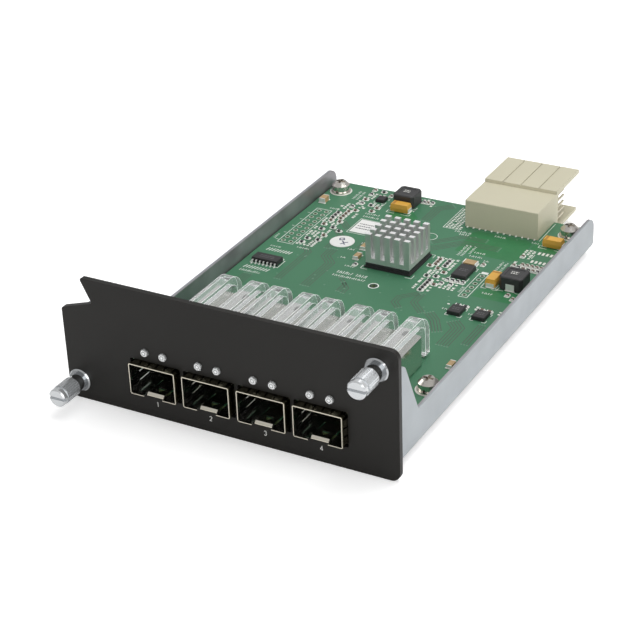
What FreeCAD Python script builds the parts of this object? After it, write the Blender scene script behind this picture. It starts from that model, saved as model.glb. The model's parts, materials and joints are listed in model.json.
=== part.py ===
import FreeCAD, Part
import math
import os

from FreeCAD import Vector as V

os.makedirs("parts", exist_ok=True)

# Switch line card: a plug-in module with four small-form pluggable ports.
# Millimetres. X runs to the right along the front panel, +Y runs into the chassis, +Z is up.
# While modelling, X = 0 is the middle of the panel, Y = 0 its front face and Z = 0 its lower edge.
# write() then moves every piece so that Y = 0 is midway between the knobs' ends and the connector's mouth.

# ------------------------------------------------------------------------------ driving dimensions
# Front panel, wider than the tray behind it
tray_width = 89.1
panel_left_margin = 7.2
panel_right_margin = 2.4
panel_height = 36.9
panel_thickness = 1.5
panel_corner_radius = 2.5
notch_tip_inset = 6.6          # from the panel's left edge to the point above the dovetail notch
notch_depth = 10.0             # from the left edge to the bottom of the notch
notch_vertex_drop = 6.85        # from the top edge to the bottom of the notch
notch_shoulder_drop = 10.05     # from the top edge to the shoulder below the notch
notch_tip_radius = 0.6
notch_vertex_radius = 0.4
notch_shoulder_radius = 0.9

# Ports, and the cut-outs they come through
port_count = 4
port_pitch = 16.25
port_group_offset = 0.8        # from the middle of the tray to the middle of the row of ports
port_cutout_width = 15.25
port_cutout_height = 10.3
port_cutout_radius = 0.4
cage_width = 14.0
cage_height = 9.1
cage_sheet = 0.25
cage_nose = 2.0                # how far the cage stands out of the panel
cage_rear_y = 43.0
cage_floor_length = 30.0       # from the nose's edge, the rest is open to the board
cage_bend_radius = 0.5
cage_seam_gap = 0.4
cage_tail_width = 1.0
cage_tail_length = 2.3
cage_tail_count = 4
cage_tail_inset = 4.0          # from the board's front edge, and from the cage's rear wall
cage_slit_width = 0.35
cage_slit_length = 8.0
cage_slit_pitch = 2.6
cage_slit_setback = 1.0        # from the nose's edge
slits_on_top = 4
slits_on_side = 3
cage_vent_length = 2.6
cage_vent_width = 1.3
cage_vent_x = 3.6              # right of the port's middle
cage_vent_y = 40.2
tongue_width = 5.0
tongue_length = 9.0            # from the nose's edge to the tongue's root
tongue_slit = 0.35
tongue_setback = 1.0           # from the nose's edge to the tongue's tip
tongue_ramp = 0.6              # along Y, the slope that the module rides up
tongue_rise = 0.55
latch_hole_side = 2.6

# Spring-finger gasket round each cage's nose
gasket_sheet = 0.1
gasket_front_setback = 0.15    # from the nose's edge to the gasket's front edge
gasket_length = 4.5
finger_width = 2.0
finger_pitch = 2.5
finger_clearance = 0.03        # between a finger's crest and the cut-out
fingers_on_top = 5
fingers_on_side = 3

# Card-edge socket in the back of each cage
socket_width = 11.6
socket_height = 6.0
socket_depth = 9.0
socket_rear_gap = 1.2          # from the socket to the cage's rear wall
socket_chamfer = 1.0
card_slot_width = 9.4
card_slot_height = 1.6
card_slot_depth = 5.5
card_slot_z = 3.4              # above the board
blade_count = 10
blade_pitch = 0.8
blade_width = 0.34
blade_thickness = 0.3

# Light pipes, and the lights under them
light_rise = 3.15              # above the cages' tops
light_pitch = 5.55             # between the two lights of a port, at the panel
light_foot_pitch = 9.2         # between the two feet of a port's pipe
light_tip_diameter = 2.1
light_tip_proud = 0.7
light_tip_chamfer = 0.2
light_hole_clearance = 0.1
pipe_width = 3.6
pipe_neck_width = 2.6
pipe_thickness = 2.4
pipe_crown = 0.95              # from a tip's middle up to the arm's top
pipe_bend_radius = 5.6
pipe_rear_reach = 6.1          # behind the cages
pipe_neck_y = 4.0              # where the round tip becomes the square arm
pipe_spread_y = 16.0           # where the arms have reached their full spread
pipe_bridge_y = 21.0
pipe_bridge_length = 4.0
pipe_foot_gap = 0.3
pipe_peg_diameter = 2.2
light_length = 2.0
light_width = 1.25
light_height = 0.7

# Carrier tray
tray_sheet = 1.0
tray_bend_radius = 0.6
tray_bottom_z = 1.7
tray_wall_top_z = 12.2
tray_rear_setback = 1.0        # from the board's rear edge
tray_rear_radius = 4.0
tray_rear_chamfer = 1.6
ear_top_drop = 8.1             # below the panel's top edge
ear_top_depth = 6.5            # along Y, from the panel's back to the ear's top corner
ear_foot_depth = 14.0          # along Y, from the panel's back to the notch below the ear
ear_radius = 2.5
flange_width = 7.6
flange_height = 11.2
flange_top_drop = 0.6          # below the ear's top edge

# Radial gap between a pressed or threaded piece and its hole
seat_fit = 0.04

# Studs welded to the panel's back, and the nuts that hold the tray on them
stud_diameter = 2.5
stud_foot_diameter = 3.5
stud_foot_thickness = 0.7
stud_hole_diameter = 3.9
stud_length = 4.2              # behind the panel
stud_spacing = 6.0
nut_across_flats = 5.0
nut_height = 2.0

# Circuit board
board_thickness = 1.6
board_top_z = 6.9
board_edge_gap = 0.45          # to the tray's walls
board_front_y = 3.0
board_rear_y = 138.5
board_hole_diameter = 3.2
hole_inset_x = 4.1             # from the board's side edge to its mounting holes
hole_rear_inset = 6.6
hole_front_y = 32.8
header_hole_diameter = 1.0
header_pitch = 2.54
header_count = 6
double_header_rows = 10
test_hole_diameter = 1.3
small_hole_sides = 8           # the drilled holes for leads are too small to need a true circle

# Board fasteners
standoff_diameter = 5.5
standoff_clinch_width = 4.2    # across the flats of the six-sided end in the tray's floor
screw_diameter = 3.0
screw_length = 6.0
screw_head_diameter = 5.6
screw_head_height = 2.2
screw_recess_width = 0.8
screw_recess_span = 3.0
screw_recess_depth = 1.2
lock_washer_diameter = 5.4
lock_washer_thickness = 0.8
lock_washer_split = 0.6
flat_washer_diameter = 6.4
flat_washer_thickness = 0.5

# Backplane connector. A reach is measured behind the board's rear edge.
plug_side_inset = 23.5         # from the board's right edge to the connector's middle
plug_width = 23.8
plug_height = 8.9
plug_overlap = 13.6            # how far the block covers the board
plug_block_reach = 2.5
plug_mouth_reach = 19.5
plug_board_gap = 0.15
upper_plate_rise = 1.0         # above the block's top
upper_plate_thickness = 1.4
upper_plate_step_reach = 1.1
lower_plate_drop = 0.9         # below the board's underside
lower_plate_thickness = 1.2
lower_plate_mouth_setback = 1.6
plate_groove_width = 0.35
plate_groove_depth = 0.25
plate_groove_count = 3
pin_columns = 12
pin_rows = 5
pin_pitch = 2.0
pin_size = 0.5
pin_first_row_drop = 0.55      # below the board's upper face
pin_tip_reach = 9.0
pin_tail_inset = 11.1          # from the board's rear edge forward to the first row of tails
pin_tail_length = 2.6          # below the board's upper face

# Switch chip and heatsink
chip_side = 15.0
chip_substrate_height = 0.6
chip_mould_inset = 0.35
chip_mould_height = 0.9
pad_thickness = 0.2
sink_side = 14.2
sink_base_height = 1.5
sink_height = 9.2
sink_pins = 5
sink_pin_width = 1.75
sink_pin_depth = 1.35

# Gull-wing logic chip
logic_length = 8.7
logic_width = 3.9
logic_height = 1.6
logic_standoff = 0.15
lead_count_per_side = 7
lead_pitch = 1.27
lead_width = 0.4
lead_thickness = 0.2
lead_reach = 1.0

# Flat no-lead chips: length across the board, length along it, height
controller_chip_size = (4.7, 7.5, 1.2)
driver_chip_size = (3.9, 4.4, 1.2)
regulator_chip_size = (2.9, 3.0, 1.1)
chip_edge_chamfer = 0.15

# Moulded inductors
inductor_side = 7.2
inductor_height = 4.2
inductor_chamfer = 0.9
inductor_rim_width = 0.6
inductor_rim_depth = 0.15
inductor_terminal_width = 2.6

# Moulded tantalum capacitors
tantalum_length = 6.0
tantalum_width = 3.2
tantalum_height = 2.6
tantalum_draft = 0.25
tantalum_terminal_width = 2.4
tantalum_terminal_length = 1.3

# Ceramic capacitors: a large, a medium and a small size, each of length, width and height
large_ceramic_size = (4.2, 2.6, 1.0)
medium_ceramic_size = (3.2, 2.0, 1.6)
small_ceramic_size = (3.2, 1.6, 1.0)

# Chip resistors and capacitors
chip_part_length = 1.6
chip_part_width = 0.8
chip_part_height = 0.5
end_cap_length = 0.3

# Labels on the board
label_length = 7.8
label_width = 8.8
label_thickness = 0.15
sticker_diameter = 7.6

# Places on the board: shares of its width from the left edge, and of its length from the front edge.
# A part that can lie either way adds True where its long side runs along the board.
header_place = (0.8, 0.599)
double_header_place = (0.053, 0.667)
test_hole_place = (0.499, 0.555)
switch_chip_place = (0.495, 0.679)
logic_chip_place = (0.085, 0.56)
controller_chip_place = (0.735, 0.687)
driver_chip_places = ((0.825, 0.524), (0.912, 0.524))
regulator_chip_place = (0.224, 0.942)
inductor_places = ((0.32, 0.954), (0.926, 0.68))
tantalum_places = ((0.325, 0.912, False), (0.856, 0.673, True), (0.933, 0.886, False))
ceramic_places = (
    (0.729, 0.731, False, large_ceramic_size), (0.032, 0.886, True, medium_ceramic_size),
    (0.956, 0.319, True, small_ceramic_size), (0.354, 0.66, True, small_ceramic_size),
    (0.343, 0.708, True, small_ceramic_size))
chip_resistor_places = (
    (0.371, 0.626, True), (0.165, 0.962, True), (0.201, 0.985, False), (0.169, 0.909, True),
    (0.208, 0.908, False), (0.148, 0.885, True), (0.372, 0.973, True), (0.403, 0.976, True),
    (0.63, 0.644, False), (0.661, 0.649, False), (0.697, 0.624, True), (0.729, 0.627, True),
    (0.885, 0.76, True), (0.925, 0.756, True), (0.957, 0.756, True),
    (0.121, 0.676, False), (0.125, 0.697, False),
    (0.135, 0.752, False), (0.166, 0.699, False), (0.168, 0.768, False), (0.201, 0.757, False))
chip_capacitor_places = (
    (0.162, 0.986, True), (0.239, 0.971, True), (0.167, 0.932, False), (0.239, 0.9, False),
    (0.176, 0.869, False), (0.233, 0.88, False), (0.387, 0.973, True), (0.608, 0.69, False),
    (0.643, 0.684, False), (0.673, 0.672, False), (0.68, 0.613, False), (0.932, 0.632, True),
    (0.958, 0.62, True), (0.865, 0.765, True), (0.905, 0.757, True), (0.941, 0.756, True),
    (0.868, 0.812, True),
    (0.77, 0.739, True), (0.125, 0.776, False), (0.133, 0.801, False), (0.168, 0.724, False),
    (0.168, 0.801, False))
# Rows of one part: the first one's place, the step to the next as shares, how many, and the turn
chip_resistor_rows = (
    (0.654, 0.58, 0, 0.0118, 5, False), (0.657, 0.701, 0, 0.0118, 3, False),
    (0.128, 0.816, 0, 0.0133, 3, False), (0.705, 0.645, 0.0186, 0, 4, True),
    (0.813, 0.551, 0.0267, 0, 2, False))
chip_capacitor_rows = (
    (0.622, 0.701, 0, 0.0118, 3, False), (0.158, 0.818, 0, 0.0133, 4, False),
    (0.891, 0.774, 0.0174, 0, 5, True), (0.898, 0.551, 0.0267, 0, 2, False))
label_place = (0.277, 0.8)
sticker_place = (0.249, 0.714)

# Captive thumbscrews
left_screw_inset = 3.75        # from the panel's left edge
left_screw_height = 5.7        # above the panel's lower edge
right_screw_inset = 5.75       # from the panel's right edge
right_screw_drop = 5.9         # below the panel's top edge
ferrule_flange_diameter = 6.6
ferrule_flange_thickness = 0.8
ferrule_tube_diameter = 4.6
ferrule_tube_bore = 3.9
ferrule_tube_length = 4.4      # in front of the flange
ferrule_seat_diameter = 5.0
ferrule_floor = 0.8            # at the back of the tube, where the spring sits
knob_diameter = 5.4
knob_travel = 3.1              # smooth neck seen between the flange and the knob at rest
knob_length = 7.2
knob_fit = 0.06                # radial gap, sliding on the ferrule's tube
knob_head_length = 1.5
knob_groove_length = 0.5
knob_groove_depth = 0.3
knob_head_diameter = 5.2
knob_slot_width = 0.8
knob_slot_depth = 0.9
knob_chamfer = 0.35
knurl_teeth = 28
knurl_depth = 0.16
stem_diameter = 2.5
stem_neck_diameter = 1.9
stem_neck_fit = 0.15
stem_reach = 6.0               # threaded length behind the retaining ring
stem_point = 0.5
ring_diameter = 3.6
ring_thickness = 0.5
ring_gap_angle = 80.0
spring_wire = 0.3
spring_turns = 5

# ------------------------------------------------------------------------------ places worked out
panel_width = panel_left_margin + tray_width + panel_right_margin
panel_left_x = -panel_width / 2
panel_right_x = panel_width / 2
panel_back_y = panel_thickness
tray_left_x = panel_left_x + panel_left_margin
tray_right_x = panel_right_x - panel_right_margin
tray_floor_z = tray_bottom_z + tray_sheet
tray_rear_y = board_rear_y - tray_rear_setback
ear_top_z = panel_height - ear_top_drop
flange_top_z = ear_top_z - flange_top_drop
flange_bottom_z = flange_top_z - flange_height
board_bottom_z = board_top_z - board_thickness
board_left_x = tray_left_x + tray_sheet + board_edge_gap
board_right_x = tray_right_x - tray_sheet - board_edge_gap
hole_rear_y = board_rear_y - hole_rear_inset
hole_places = [(x, y)
               for x in (board_left_x + hole_inset_x, board_right_x - hole_inset_x)
               for y in (hole_front_y, hole_rear_y)]
port_group_x = (tray_left_x + tray_right_x) / 2 + port_group_offset
port_places = [port_group_x + (i - (port_count - 1) / 2) * port_pitch for i in range(port_count)]
cage_top_z = board_top_z + cage_height
cage_front_y = -cage_nose
port_middle_z = board_top_z + cage_height / 2
light_z = cage_top_z + light_rise
pipe_top_z = light_z + pipe_crown
pipe_under_z = pipe_top_z - pipe_thickness
pipe_rear_y = cage_rear_y + pipe_rear_reach
plug_x = board_right_x - plug_side_inset
plug_top_z = board_top_z + plug_height
plug_front_y = board_rear_y - plug_overlap
plug_block_rear_y = board_rear_y + plug_block_reach
plug_mouth_y = board_rear_y + plug_mouth_reach
knob_rear_y = -(ferrule_flange_thickness + knob_travel)
knob_front_y = knob_rear_y - knob_length
front_y = knob_front_y
middle_y = (front_y + plug_mouth_y) / 2


def in_rows(rows):
    """Places of the parts in rows, worked out from each row's first place, step and count."""
    return tuple((across + i * step_across, along + i * step_along, along_y)
                 for across, along, step_across, step_along, count, along_y in rows
                 for i in range(count))


def on_board(across, along):
    """The point at these shares of the board's width and length."""
    return (board_left_x + across * (board_right_x - board_left_x),
            board_front_y + along * (board_rear_y - board_front_y))


# ------------------------------------------------------------------------------ helpers
def block(x0, x1, y0, y1, z0, z1):
    """A box between two corners."""
    return Part.makeBox(x1 - x0, y1 - y0, z1 - z0, V(x0, y0, z0))


def block_at(x, y, length, width, z0, z1):
    """A box with its middle at x, y."""
    return block(x - length / 2, x + length / 2, y - width / 2, y + width / 2, z0, z1)


def rod_y(x, z, diameter, y0, y1):
    """A round bar along Y."""
    return Part.makeCylinder(diameter / 2, y1 - y0, V(x, y0, z), V(0, 1, 0))


def rod_z(x, y, diameter, z0, z1):
    """A round bar along Z."""
    return Part.makeCylinder(diameter / 2, z1 - z0, V(x, y, z0), V(0, 0, 1))


def rounded_wire(corners, to_space):
    """A closed wire through corners (a, b, radius), each corner rounded by a tangent arc."""
    count = len(corners)
    edges = []
    ends = []
    for i, (a, b, radius) in enumerate(corners):
        here = V(a, b, 0)
        back = (V(*corners[i - 1][:2], 0) - here).normalize()
        ahead = (V(*corners[(i + 1) % count][:2], 0) - here).normalize()
        if radius == 0:
            ends.append((here, None, here))
            continue
        half = back.getAngle(ahead) / 2
        reach = radius / math.tan(half)
        inward = (back + ahead).normalize()
        middle = here + inward * (radius / math.sin(half) - radius)
        ends.append((here + back * reach, middle, here + ahead * reach))
    for i, (start, middle, end) in enumerate(ends):
        if middle is not None:
            edges.append(Part.Arc(to_space(start), to_space(middle), to_space(end)).toShape())
        following = ends[(i + 1) % count][0]
        if (following - end).Length > 1e-6:
            edges.append(Part.LineSegment(to_space(end), to_space(following)).toShape())
    return Part.Wire(edges)


def plate_xz(corners, y0, y1):
    """A plate with its outline in X and Z, between two values of Y."""
    wire = rounded_wire(corners, lambda p: V(p.x, y0, p.y))
    return Part.Face(wire).extrude(V(0, y1 - y0, 0))


def plate_yz(corners, x0, x1):
    """A plate with its outline in Y and Z, between two values of X."""
    wire = rounded_wire(corners, lambda p: V(x0, p.x, p.y))
    return Part.Face(wire).extrude(V(x1 - x0, 0, 0))


def plate_xy(corners, z0, z1):
    """A plate with its outline in X and Y, between two values of Z."""
    wire = rounded_wire(corners, lambda p: V(p.x, p.y, z0))
    return Part.Face(wire).extrude(V(0, 0, z1 - z0))


def rectangle(a0, a1, b0, b1, radius=0):
    """Corners of a rectangle, with one radius."""
    return [(a0, b0, radius), (a1, b0, radius), (a1, b1, radius), (a0, b1, radius)]


def hexagon_z(x, y, across_flats, z0, z1):
    """A six-sided bar along Z."""
    corner = across_flats / 2 / math.cos(math.pi / 6)
    return plate_xy([(x + corner * math.cos(math.pi / 3 * i), y + corner * math.sin(math.pi / 3 * i), 0)
                     for i in range(6)], z0, z1)


def turned(profile, x, z):
    """A solid turned about an axis along Y at x, z, from a profile of (radius, y) points."""
    points = [V(x + radius, y, z) for radius, y in profile]
    wire = Part.makePolygon(points + points[:1])
    return Part.Face(wire).revolve(V(x, 0, z), V(0, 1, 0), 360)


def write(name, shape):
    """Check a node, move it to the object's own origin and write it."""
    placed = shape.copy()
    placed.translate(V(0, -middle_y, 0))
    assert placed.isValid() and placed.Solids, name
    placed.exportStep("parts/" + name + ".step")
    faces = len(placed.Faces)
    print(f"{name:28s} {len(placed.Solids):3d} solids {faces:5d} faces {placed.Volume:10.1f} mm3")


# ------------------------------------------------------------------------------ front panel
def screw_places():
    """Name and axis of each captive thumbscrew."""
    return (("left", panel_left_x + left_screw_inset, left_screw_height),
            ("right", panel_right_x - right_screw_inset, panel_height - right_screw_drop))


def stud_places():
    """Axes (x, z) of the four studs behind the panel."""
    middle_z = (flange_bottom_z + flange_top_z) / 2
    inset = tray_sheet + tray_bend_radius + (flange_width - tray_sheet) / 2
    return [(x, middle_z + side * stud_spacing / 2)
            for x in (tray_left_x + inset, tray_right_x - inset)
            for side in (-1, 1)]


def front_panel():
    left = panel_left_x
    outline = [
        (left, 0, panel_corner_radius),
        (panel_right_x, 0, panel_corner_radius),
        (panel_right_x, panel_height, panel_corner_radius),
        (left + notch_tip_inset, panel_height, notch_tip_radius),
        (left + notch_depth, panel_height - notch_vertex_drop, notch_vertex_radius),
        (left, panel_height - notch_shoulder_drop, notch_shoulder_radius)]
    panel = plate_xz(outline, 0, panel_back_y)
    cuts = []
    for x in port_places:
        half_width = port_cutout_width / 2
        half_height = port_cutout_height / 2
        corners = rectangle(x - half_width, x + half_width,
                            port_middle_z - half_height, port_middle_z + half_height,
                            port_cutout_radius)
        cuts.append(plate_xz(corners, -1, panel_back_y + 1))
        for side in (-1, 1):
            hole = light_tip_diameter + 2 * light_hole_clearance
            cuts.append(rod_y(x + side * light_pitch / 2, light_z, hole, -1, panel_back_y + 1))
    for _, x, z in screw_places():
        cuts.append(rod_y(x, z, ferrule_seat_diameter + 2 * seat_fit, -1, panel_back_y + 1))
    return panel.cut(cuts)


def panel_studs():
    foot = stud_foot_diameter / 2
    shank = stud_diameter / 2
    foot_y = panel_back_y + stud_foot_thickness
    return Part.makeCompound([turned([
        (0, panel_back_y), (foot, panel_back_y), (foot, foot_y), (shank, foot_y),
        (shank, panel_back_y + stud_length), (0, panel_back_y + stud_length)], x, z)
        for x, z in stud_places()])


def panel_nuts():
    nuts = []
    seat_y = panel_back_y + tray_sheet
    corner = nut_across_flats / 2 / math.cos(math.pi / 6)
    for x, z in stud_places():
        hexagon = [(x + corner * math.cos(math.radians(60 * i)),
                    z + corner * math.sin(math.radians(60 * i)), 0) for i in range(6)]
        nut = plate_xz(hexagon, seat_y, seat_y + nut_height)
        bore = rod_y(x, z, stud_diameter + 2 * seat_fit, seat_y - 1, seat_y + nut_height + 1)
        nuts.append(nut.cut(bore))
    return Part.makeCompound(nuts)


# ------------------------------------------------------------------------------ carrier tray
def carrier_tray():
    """A folded channel: walls as tall as the ears, cut back by the side view's outline."""
    outer = tray_bend_radius + tray_sheet
    bend = tray_bend_radius
    channel = plate_xz([
        (tray_left_x, ear_top_z, 0), (tray_left_x, tray_bottom_z, outer),
        (tray_right_x, tray_bottom_z, outer), (tray_right_x, ear_top_z, 0),
        (tray_right_x - tray_sheet, ear_top_z, 0), (tray_right_x - tray_sheet, tray_floor_z, bend),
        (tray_left_x + tray_sheet, tray_floor_z, bend), (tray_left_x + tray_sheet, ear_top_z, 0)],
        panel_back_y, tray_rear_y)
    side_view = plate_yz([
        (panel_back_y, tray_bottom_z - 1, 0),
        (tray_rear_y - tray_rear_chamfer, tray_bottom_z - 1, 0),
        (tray_rear_y - tray_rear_chamfer, tray_bottom_z, 0),
        (tray_rear_y, tray_bottom_z + tray_rear_chamfer, 0.5),
        (tray_rear_y, tray_wall_top_z, tray_rear_radius),
        (panel_back_y + ear_foot_depth, tray_wall_top_z, 0.4),
        (panel_back_y + ear_top_depth, ear_top_z, ear_radius),
        (panel_back_y, ear_top_z, 0.4)], tray_left_x - 1, tray_right_x + 1)
    tray = channel.common(side_view)
    for wall_x, inward in ((tray_left_x, 1), (tray_right_x, -1)):
        far_x = wall_x + inward * flange_width
        flange = plate_xz(rectangle(min(wall_x, far_x), max(wall_x, far_x),
                                    flange_bottom_z, flange_top_z, 1.0),
                          panel_back_y, panel_back_y + tray_sheet)
        near_x = wall_x + inward * tray_sheet
        root = block(min(wall_x, near_x), max(wall_x, near_x), panel_back_y, panel_back_y + tray_sheet,
                     flange_bottom_z, flange_top_z)
        tray = tray.fuse([flange, root])
    holes = [rod_y(x, z, stud_hole_diameter, 0, panel_back_y + tray_sheet + 1)
             for x, z in stud_places()]
    holes += [hexagon_z(x, y, standoff_clinch_width + 2 * seat_fit, 0, tray_floor_z + 1)
              for x, y in hole_places]
    return tray.cut(holes).removeSplitter()


# ------------------------------------------------------------------------------ board and fasteners
def small_hole(x, y, diameter):
    """A drilled hole through the board, as a prism of a few sides."""
    sides = small_hole_sides
    corners = [(x + diameter / 2 * math.cos(2 * math.pi * (i + 0.5) / sides),
                y + diameter / 2 * math.sin(2 * math.pi * (i + 0.5) / sides), 0) for i in range(sides)]
    return plate_xy(corners, 0, board_top_z + 1)


def circuit_board():
    board = plate_xy(rectangle(board_left_x, board_right_x, board_front_y, board_rear_y, 0.8),
                     board_bottom_z, board_top_z)
    holes = [rod_z(x, y, board_hole_diameter, 0, board_top_z + 1) for x, y in hole_places]
    x, y = on_board(*header_place)
    holes += [small_hole(x, y + i * header_pitch, header_hole_diameter) for i in range(header_count)]
    x, y = on_board(*double_header_place)
    holes += [small_hole(x + column * header_pitch, y + i * header_pitch, header_hole_diameter)
              for column in (0, 1) for i in range(double_header_rows)]
    holes.append(small_hole(*on_board(*test_hole_place), test_hole_diameter))
    return board.cut(holes)


def standoffs():
    pieces = []
    for x, y in hole_places:
        post = rod_z(x, y, standoff_diameter, tray_floor_z, board_bottom_z)
        clinch = hexagon_z(x, y, standoff_clinch_width, tray_bottom_z, tray_floor_z)
        bore = rod_z(x, y, screw_diameter + 2 * seat_fit, 0, board_top_z)
        pieces.append(post.fuse(clinch).cut(bore).removeSplitter())
    return Part.makeCompound(pieces)


def flat_washers():
    top = board_top_z + flat_washer_thickness
    return Part.makeCompound([rod_z(x, y, flat_washer_diameter, board_top_z, top)
                              .cut(rod_z(x, y, board_hole_diameter, 0, top + 1))
                              for x, y in hole_places])


def lock_washers():
    low = board_top_z + flat_washer_thickness
    high = low + lock_washer_thickness
    pieces = []
    for x, y in hole_places:
        ring = rod_z(x, y, lock_washer_diameter, low, high)
        bore = rod_z(x, y, board_hole_diameter, 0, high + 1)
        slit = block(x - lock_washer_split / 2, x + lock_washer_split / 2,
                     y - lock_washer_diameter, y, low - 1, high + 1)
        pieces.append(ring.cut([bore, slit]))
    return Part.makeCompound(pieces)


def board_screws():
    """Pan-head screws with a cross recess; the head narrows to a flat top."""
    seat = board_top_z + flat_washer_thickness + lock_washer_thickness
    top = seat + screw_head_height
    radius = screw_head_diameter / 2
    pieces = []
    for x, y in hole_places:
        rim = rod_z(x, y, screw_head_diameter, seat, seat + screw_head_height / 2)
        crown = Part.makeCone(radius, radius * 0.6, screw_head_height / 2,
                              V(x, y, seat + screw_head_height / 2))
        shank = rod_z(x, y, screw_diameter, seat - screw_length, seat)
        recess = [block_at(x, y, span_x, span_y, top - screw_recess_depth, top + 1)
                  for span_x, span_y in ((screw_recess_width, screw_recess_span),
                                         (screw_recess_span, screw_recess_width))]
        pieces.append(rim.fuse([crown, shank]).cut(recess).removeSplitter())
    return Part.makeCompound(pieces)


# ------------------------------------------------------------------------------ port cages
def port_cage(x):
    """A folded box, open in front and over the board at the back, with a latch tongue below."""
    half = cage_width / 2
    inner = half - cage_sheet
    low, high = board_top_z, cage_top_z
    rear = cage_rear_y
    bend = cage_bend_radius
    shell = plate_xz(rectangle(x - half, x + half, low, high, bend), cage_front_y, rear)
    hollow = plate_xz(rectangle(x - inner, x + inner, low + cage_sheet, high - cage_sheet,
                                bend - cage_sheet), cage_front_y - 1, rear - cage_sheet)
    floor_end = cage_front_y + cage_floor_length
    under = block(x - inner, x + inner, floor_end, rear - cage_sheet, low - 1, low + 2 * cage_sheet)
    slit_x = tongue_width / 2 + tongue_slit
    window = block(x - slit_x, x + slit_x, cage_front_y - 1, cage_front_y + tongue_length,
                   low - 1, low + 2 * cage_sheet)
    hole_y = cage_front_y + tongue_length * 0.55
    side = latch_hole_side / 2
    latch_hole = plate_xy([(x - side, hole_y, 0.2), (x + side, hole_y, 0.2),
                           (x, hole_y - side * math.sqrt(3), 0.2)], low - 1, low + tongue_rise + 1)
    vent = plate_xy(rectangle(x + cage_vent_x - cage_vent_width / 2, x + cage_vent_x + cage_vent_width / 2,
                              cage_vent_y - cage_vent_length / 2, cage_vent_y + cage_vent_length / 2,
                              cage_vent_width / 2 - 0.01), high - 1, high + 1)
    seam = [block(x - slit_x, x - slit_x + cage_seam_gap, rear - 1, rear + 1, low + 1, high - 1)]
    cage = shell.cut([hollow, under, window, vent] + seam + nose_slits(x))
    tip_y = cage_front_y + tongue_setback
    bent = [(cage_front_y + tongue_length, low), (tip_y + tongue_ramp, low + tongue_rise), (tip_y, low)]
    tongue = plate_yz([(y, z, 0) for y, z in bent] + [(y, z + cage_sheet, 0) for y, z in bent[::-1]],
                      x - tongue_width / 2, x + tongue_width / 2).cut(latch_hole)
    tails = []
    first = board_front_y + cage_tail_inset
    step = (rear - cage_tail_inset - first) / (cage_tail_count - 1)
    for i in range(cage_tail_count):
        y = first + i * step
        for wall in (x - half, x + inner):
            tails.append(block(wall, wall + cage_sheet, y - cage_tail_width / 2, y + cage_tail_width / 2,
                               low - cage_tail_length, low + bend))
    return cage.fuse([tongue] + tails).removeSplitter()


def nose_slits(x):
    """Cutters for the long slits that part the cage's walls into springy strips near the nose."""
    y0 = cage_front_y + cage_slit_setback
    y1 = y0 + cage_slit_length
    half = cage_slit_width / 2
    cutters = []
    for i in range(slits_on_top):
        at = x + (i - (slits_on_top - 1) / 2) * cage_slit_pitch
        cutters.append(block(at - half, at + half, y0, y1, cage_top_z - 2 * cage_sheet, cage_top_z + 1))
    for i in range(slits_on_side):
        at = port_middle_z + (i - (slits_on_side - 1) / 2) * cage_slit_pitch
        cutters.append(block(x - cage_width, x + cage_width, y0, y1, at - half, at + half))
    return cutters


def finger_gasket(x):
    """A thin collar on the cage's nose, with sprung fingers bowed out to touch the cut-out."""
    half = cage_width / 2
    low, high = board_top_z, cage_top_z
    front = cage_front_y + gasket_front_setback
    rear = front + gasket_length
    collar = plate_xz(rectangle(x - half - gasket_sheet, x + half + gasket_sheet,
                                low - gasket_sheet, high + gasket_sheet, cage_bend_radius), front, rear)
    inside = plate_xz(rectangle(x - half, x + half, low, high, cage_bend_radius), front - 1, rear + 1)
    gap = block(x - tongue_width / 2 - tongue_slit, x + tongue_width / 2 + tongue_slit,
                front - 1, rear + 1, low - 1, low + 0.1)
    side_rise = (port_cutout_width - cage_width) / 2 - finger_clearance
    top_rise = (port_cutout_height - cage_height) / 2 - finger_clearance
    crest = panel_thickness / 2

    def bow(rise):
        """Outline of a finger: distance outward from the cage against Y."""
        t = gasket_sheet
        return [(front, 0), (front, t), (crest - 1.4, rise - t), (crest - 0.6, rise), (crest + 0.6, rise),
                (rear - 0.6, 2 * t), (rear - 0.6, t), (crest + 0.6, rise - t), (crest - 0.5, rise - t),
                (front + 0.5, 0)]

    fingers = []
    for i in range(fingers_on_top):
        at = x + (i - (fingers_on_top - 1) / 2) * finger_pitch
        for face, outward in ((high, 1), (low, -1)):
            if outward < 0 and abs(at - x) < finger_pitch * 1.5:
                continue
            outline = [(y, face + outward * rise, 0) for y, rise in bow(top_rise)]
            fingers.append(plate_yz(outline, at - finger_width / 2, at + finger_width / 2))
    for i in range(fingers_on_side):
        at = port_middle_z + (i - (fingers_on_side - 1) / 2) * finger_pitch
        for face, outward in ((x + half, 1), (x - half, -1)):
            outline = [(face + outward * rise, y, 0) for y, rise in bow(side_rise)]
            fingers.append(plate_xy(outline, at - finger_width / 2, at + finger_width / 2))
    return collar.cut([inside, gap]).fuse(fingers).removeSplitter()


def socket_front_y():
    """Front face of the card-edge socket."""
    return cage_rear_y - cage_sheet - socket_rear_gap - socket_depth


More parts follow.
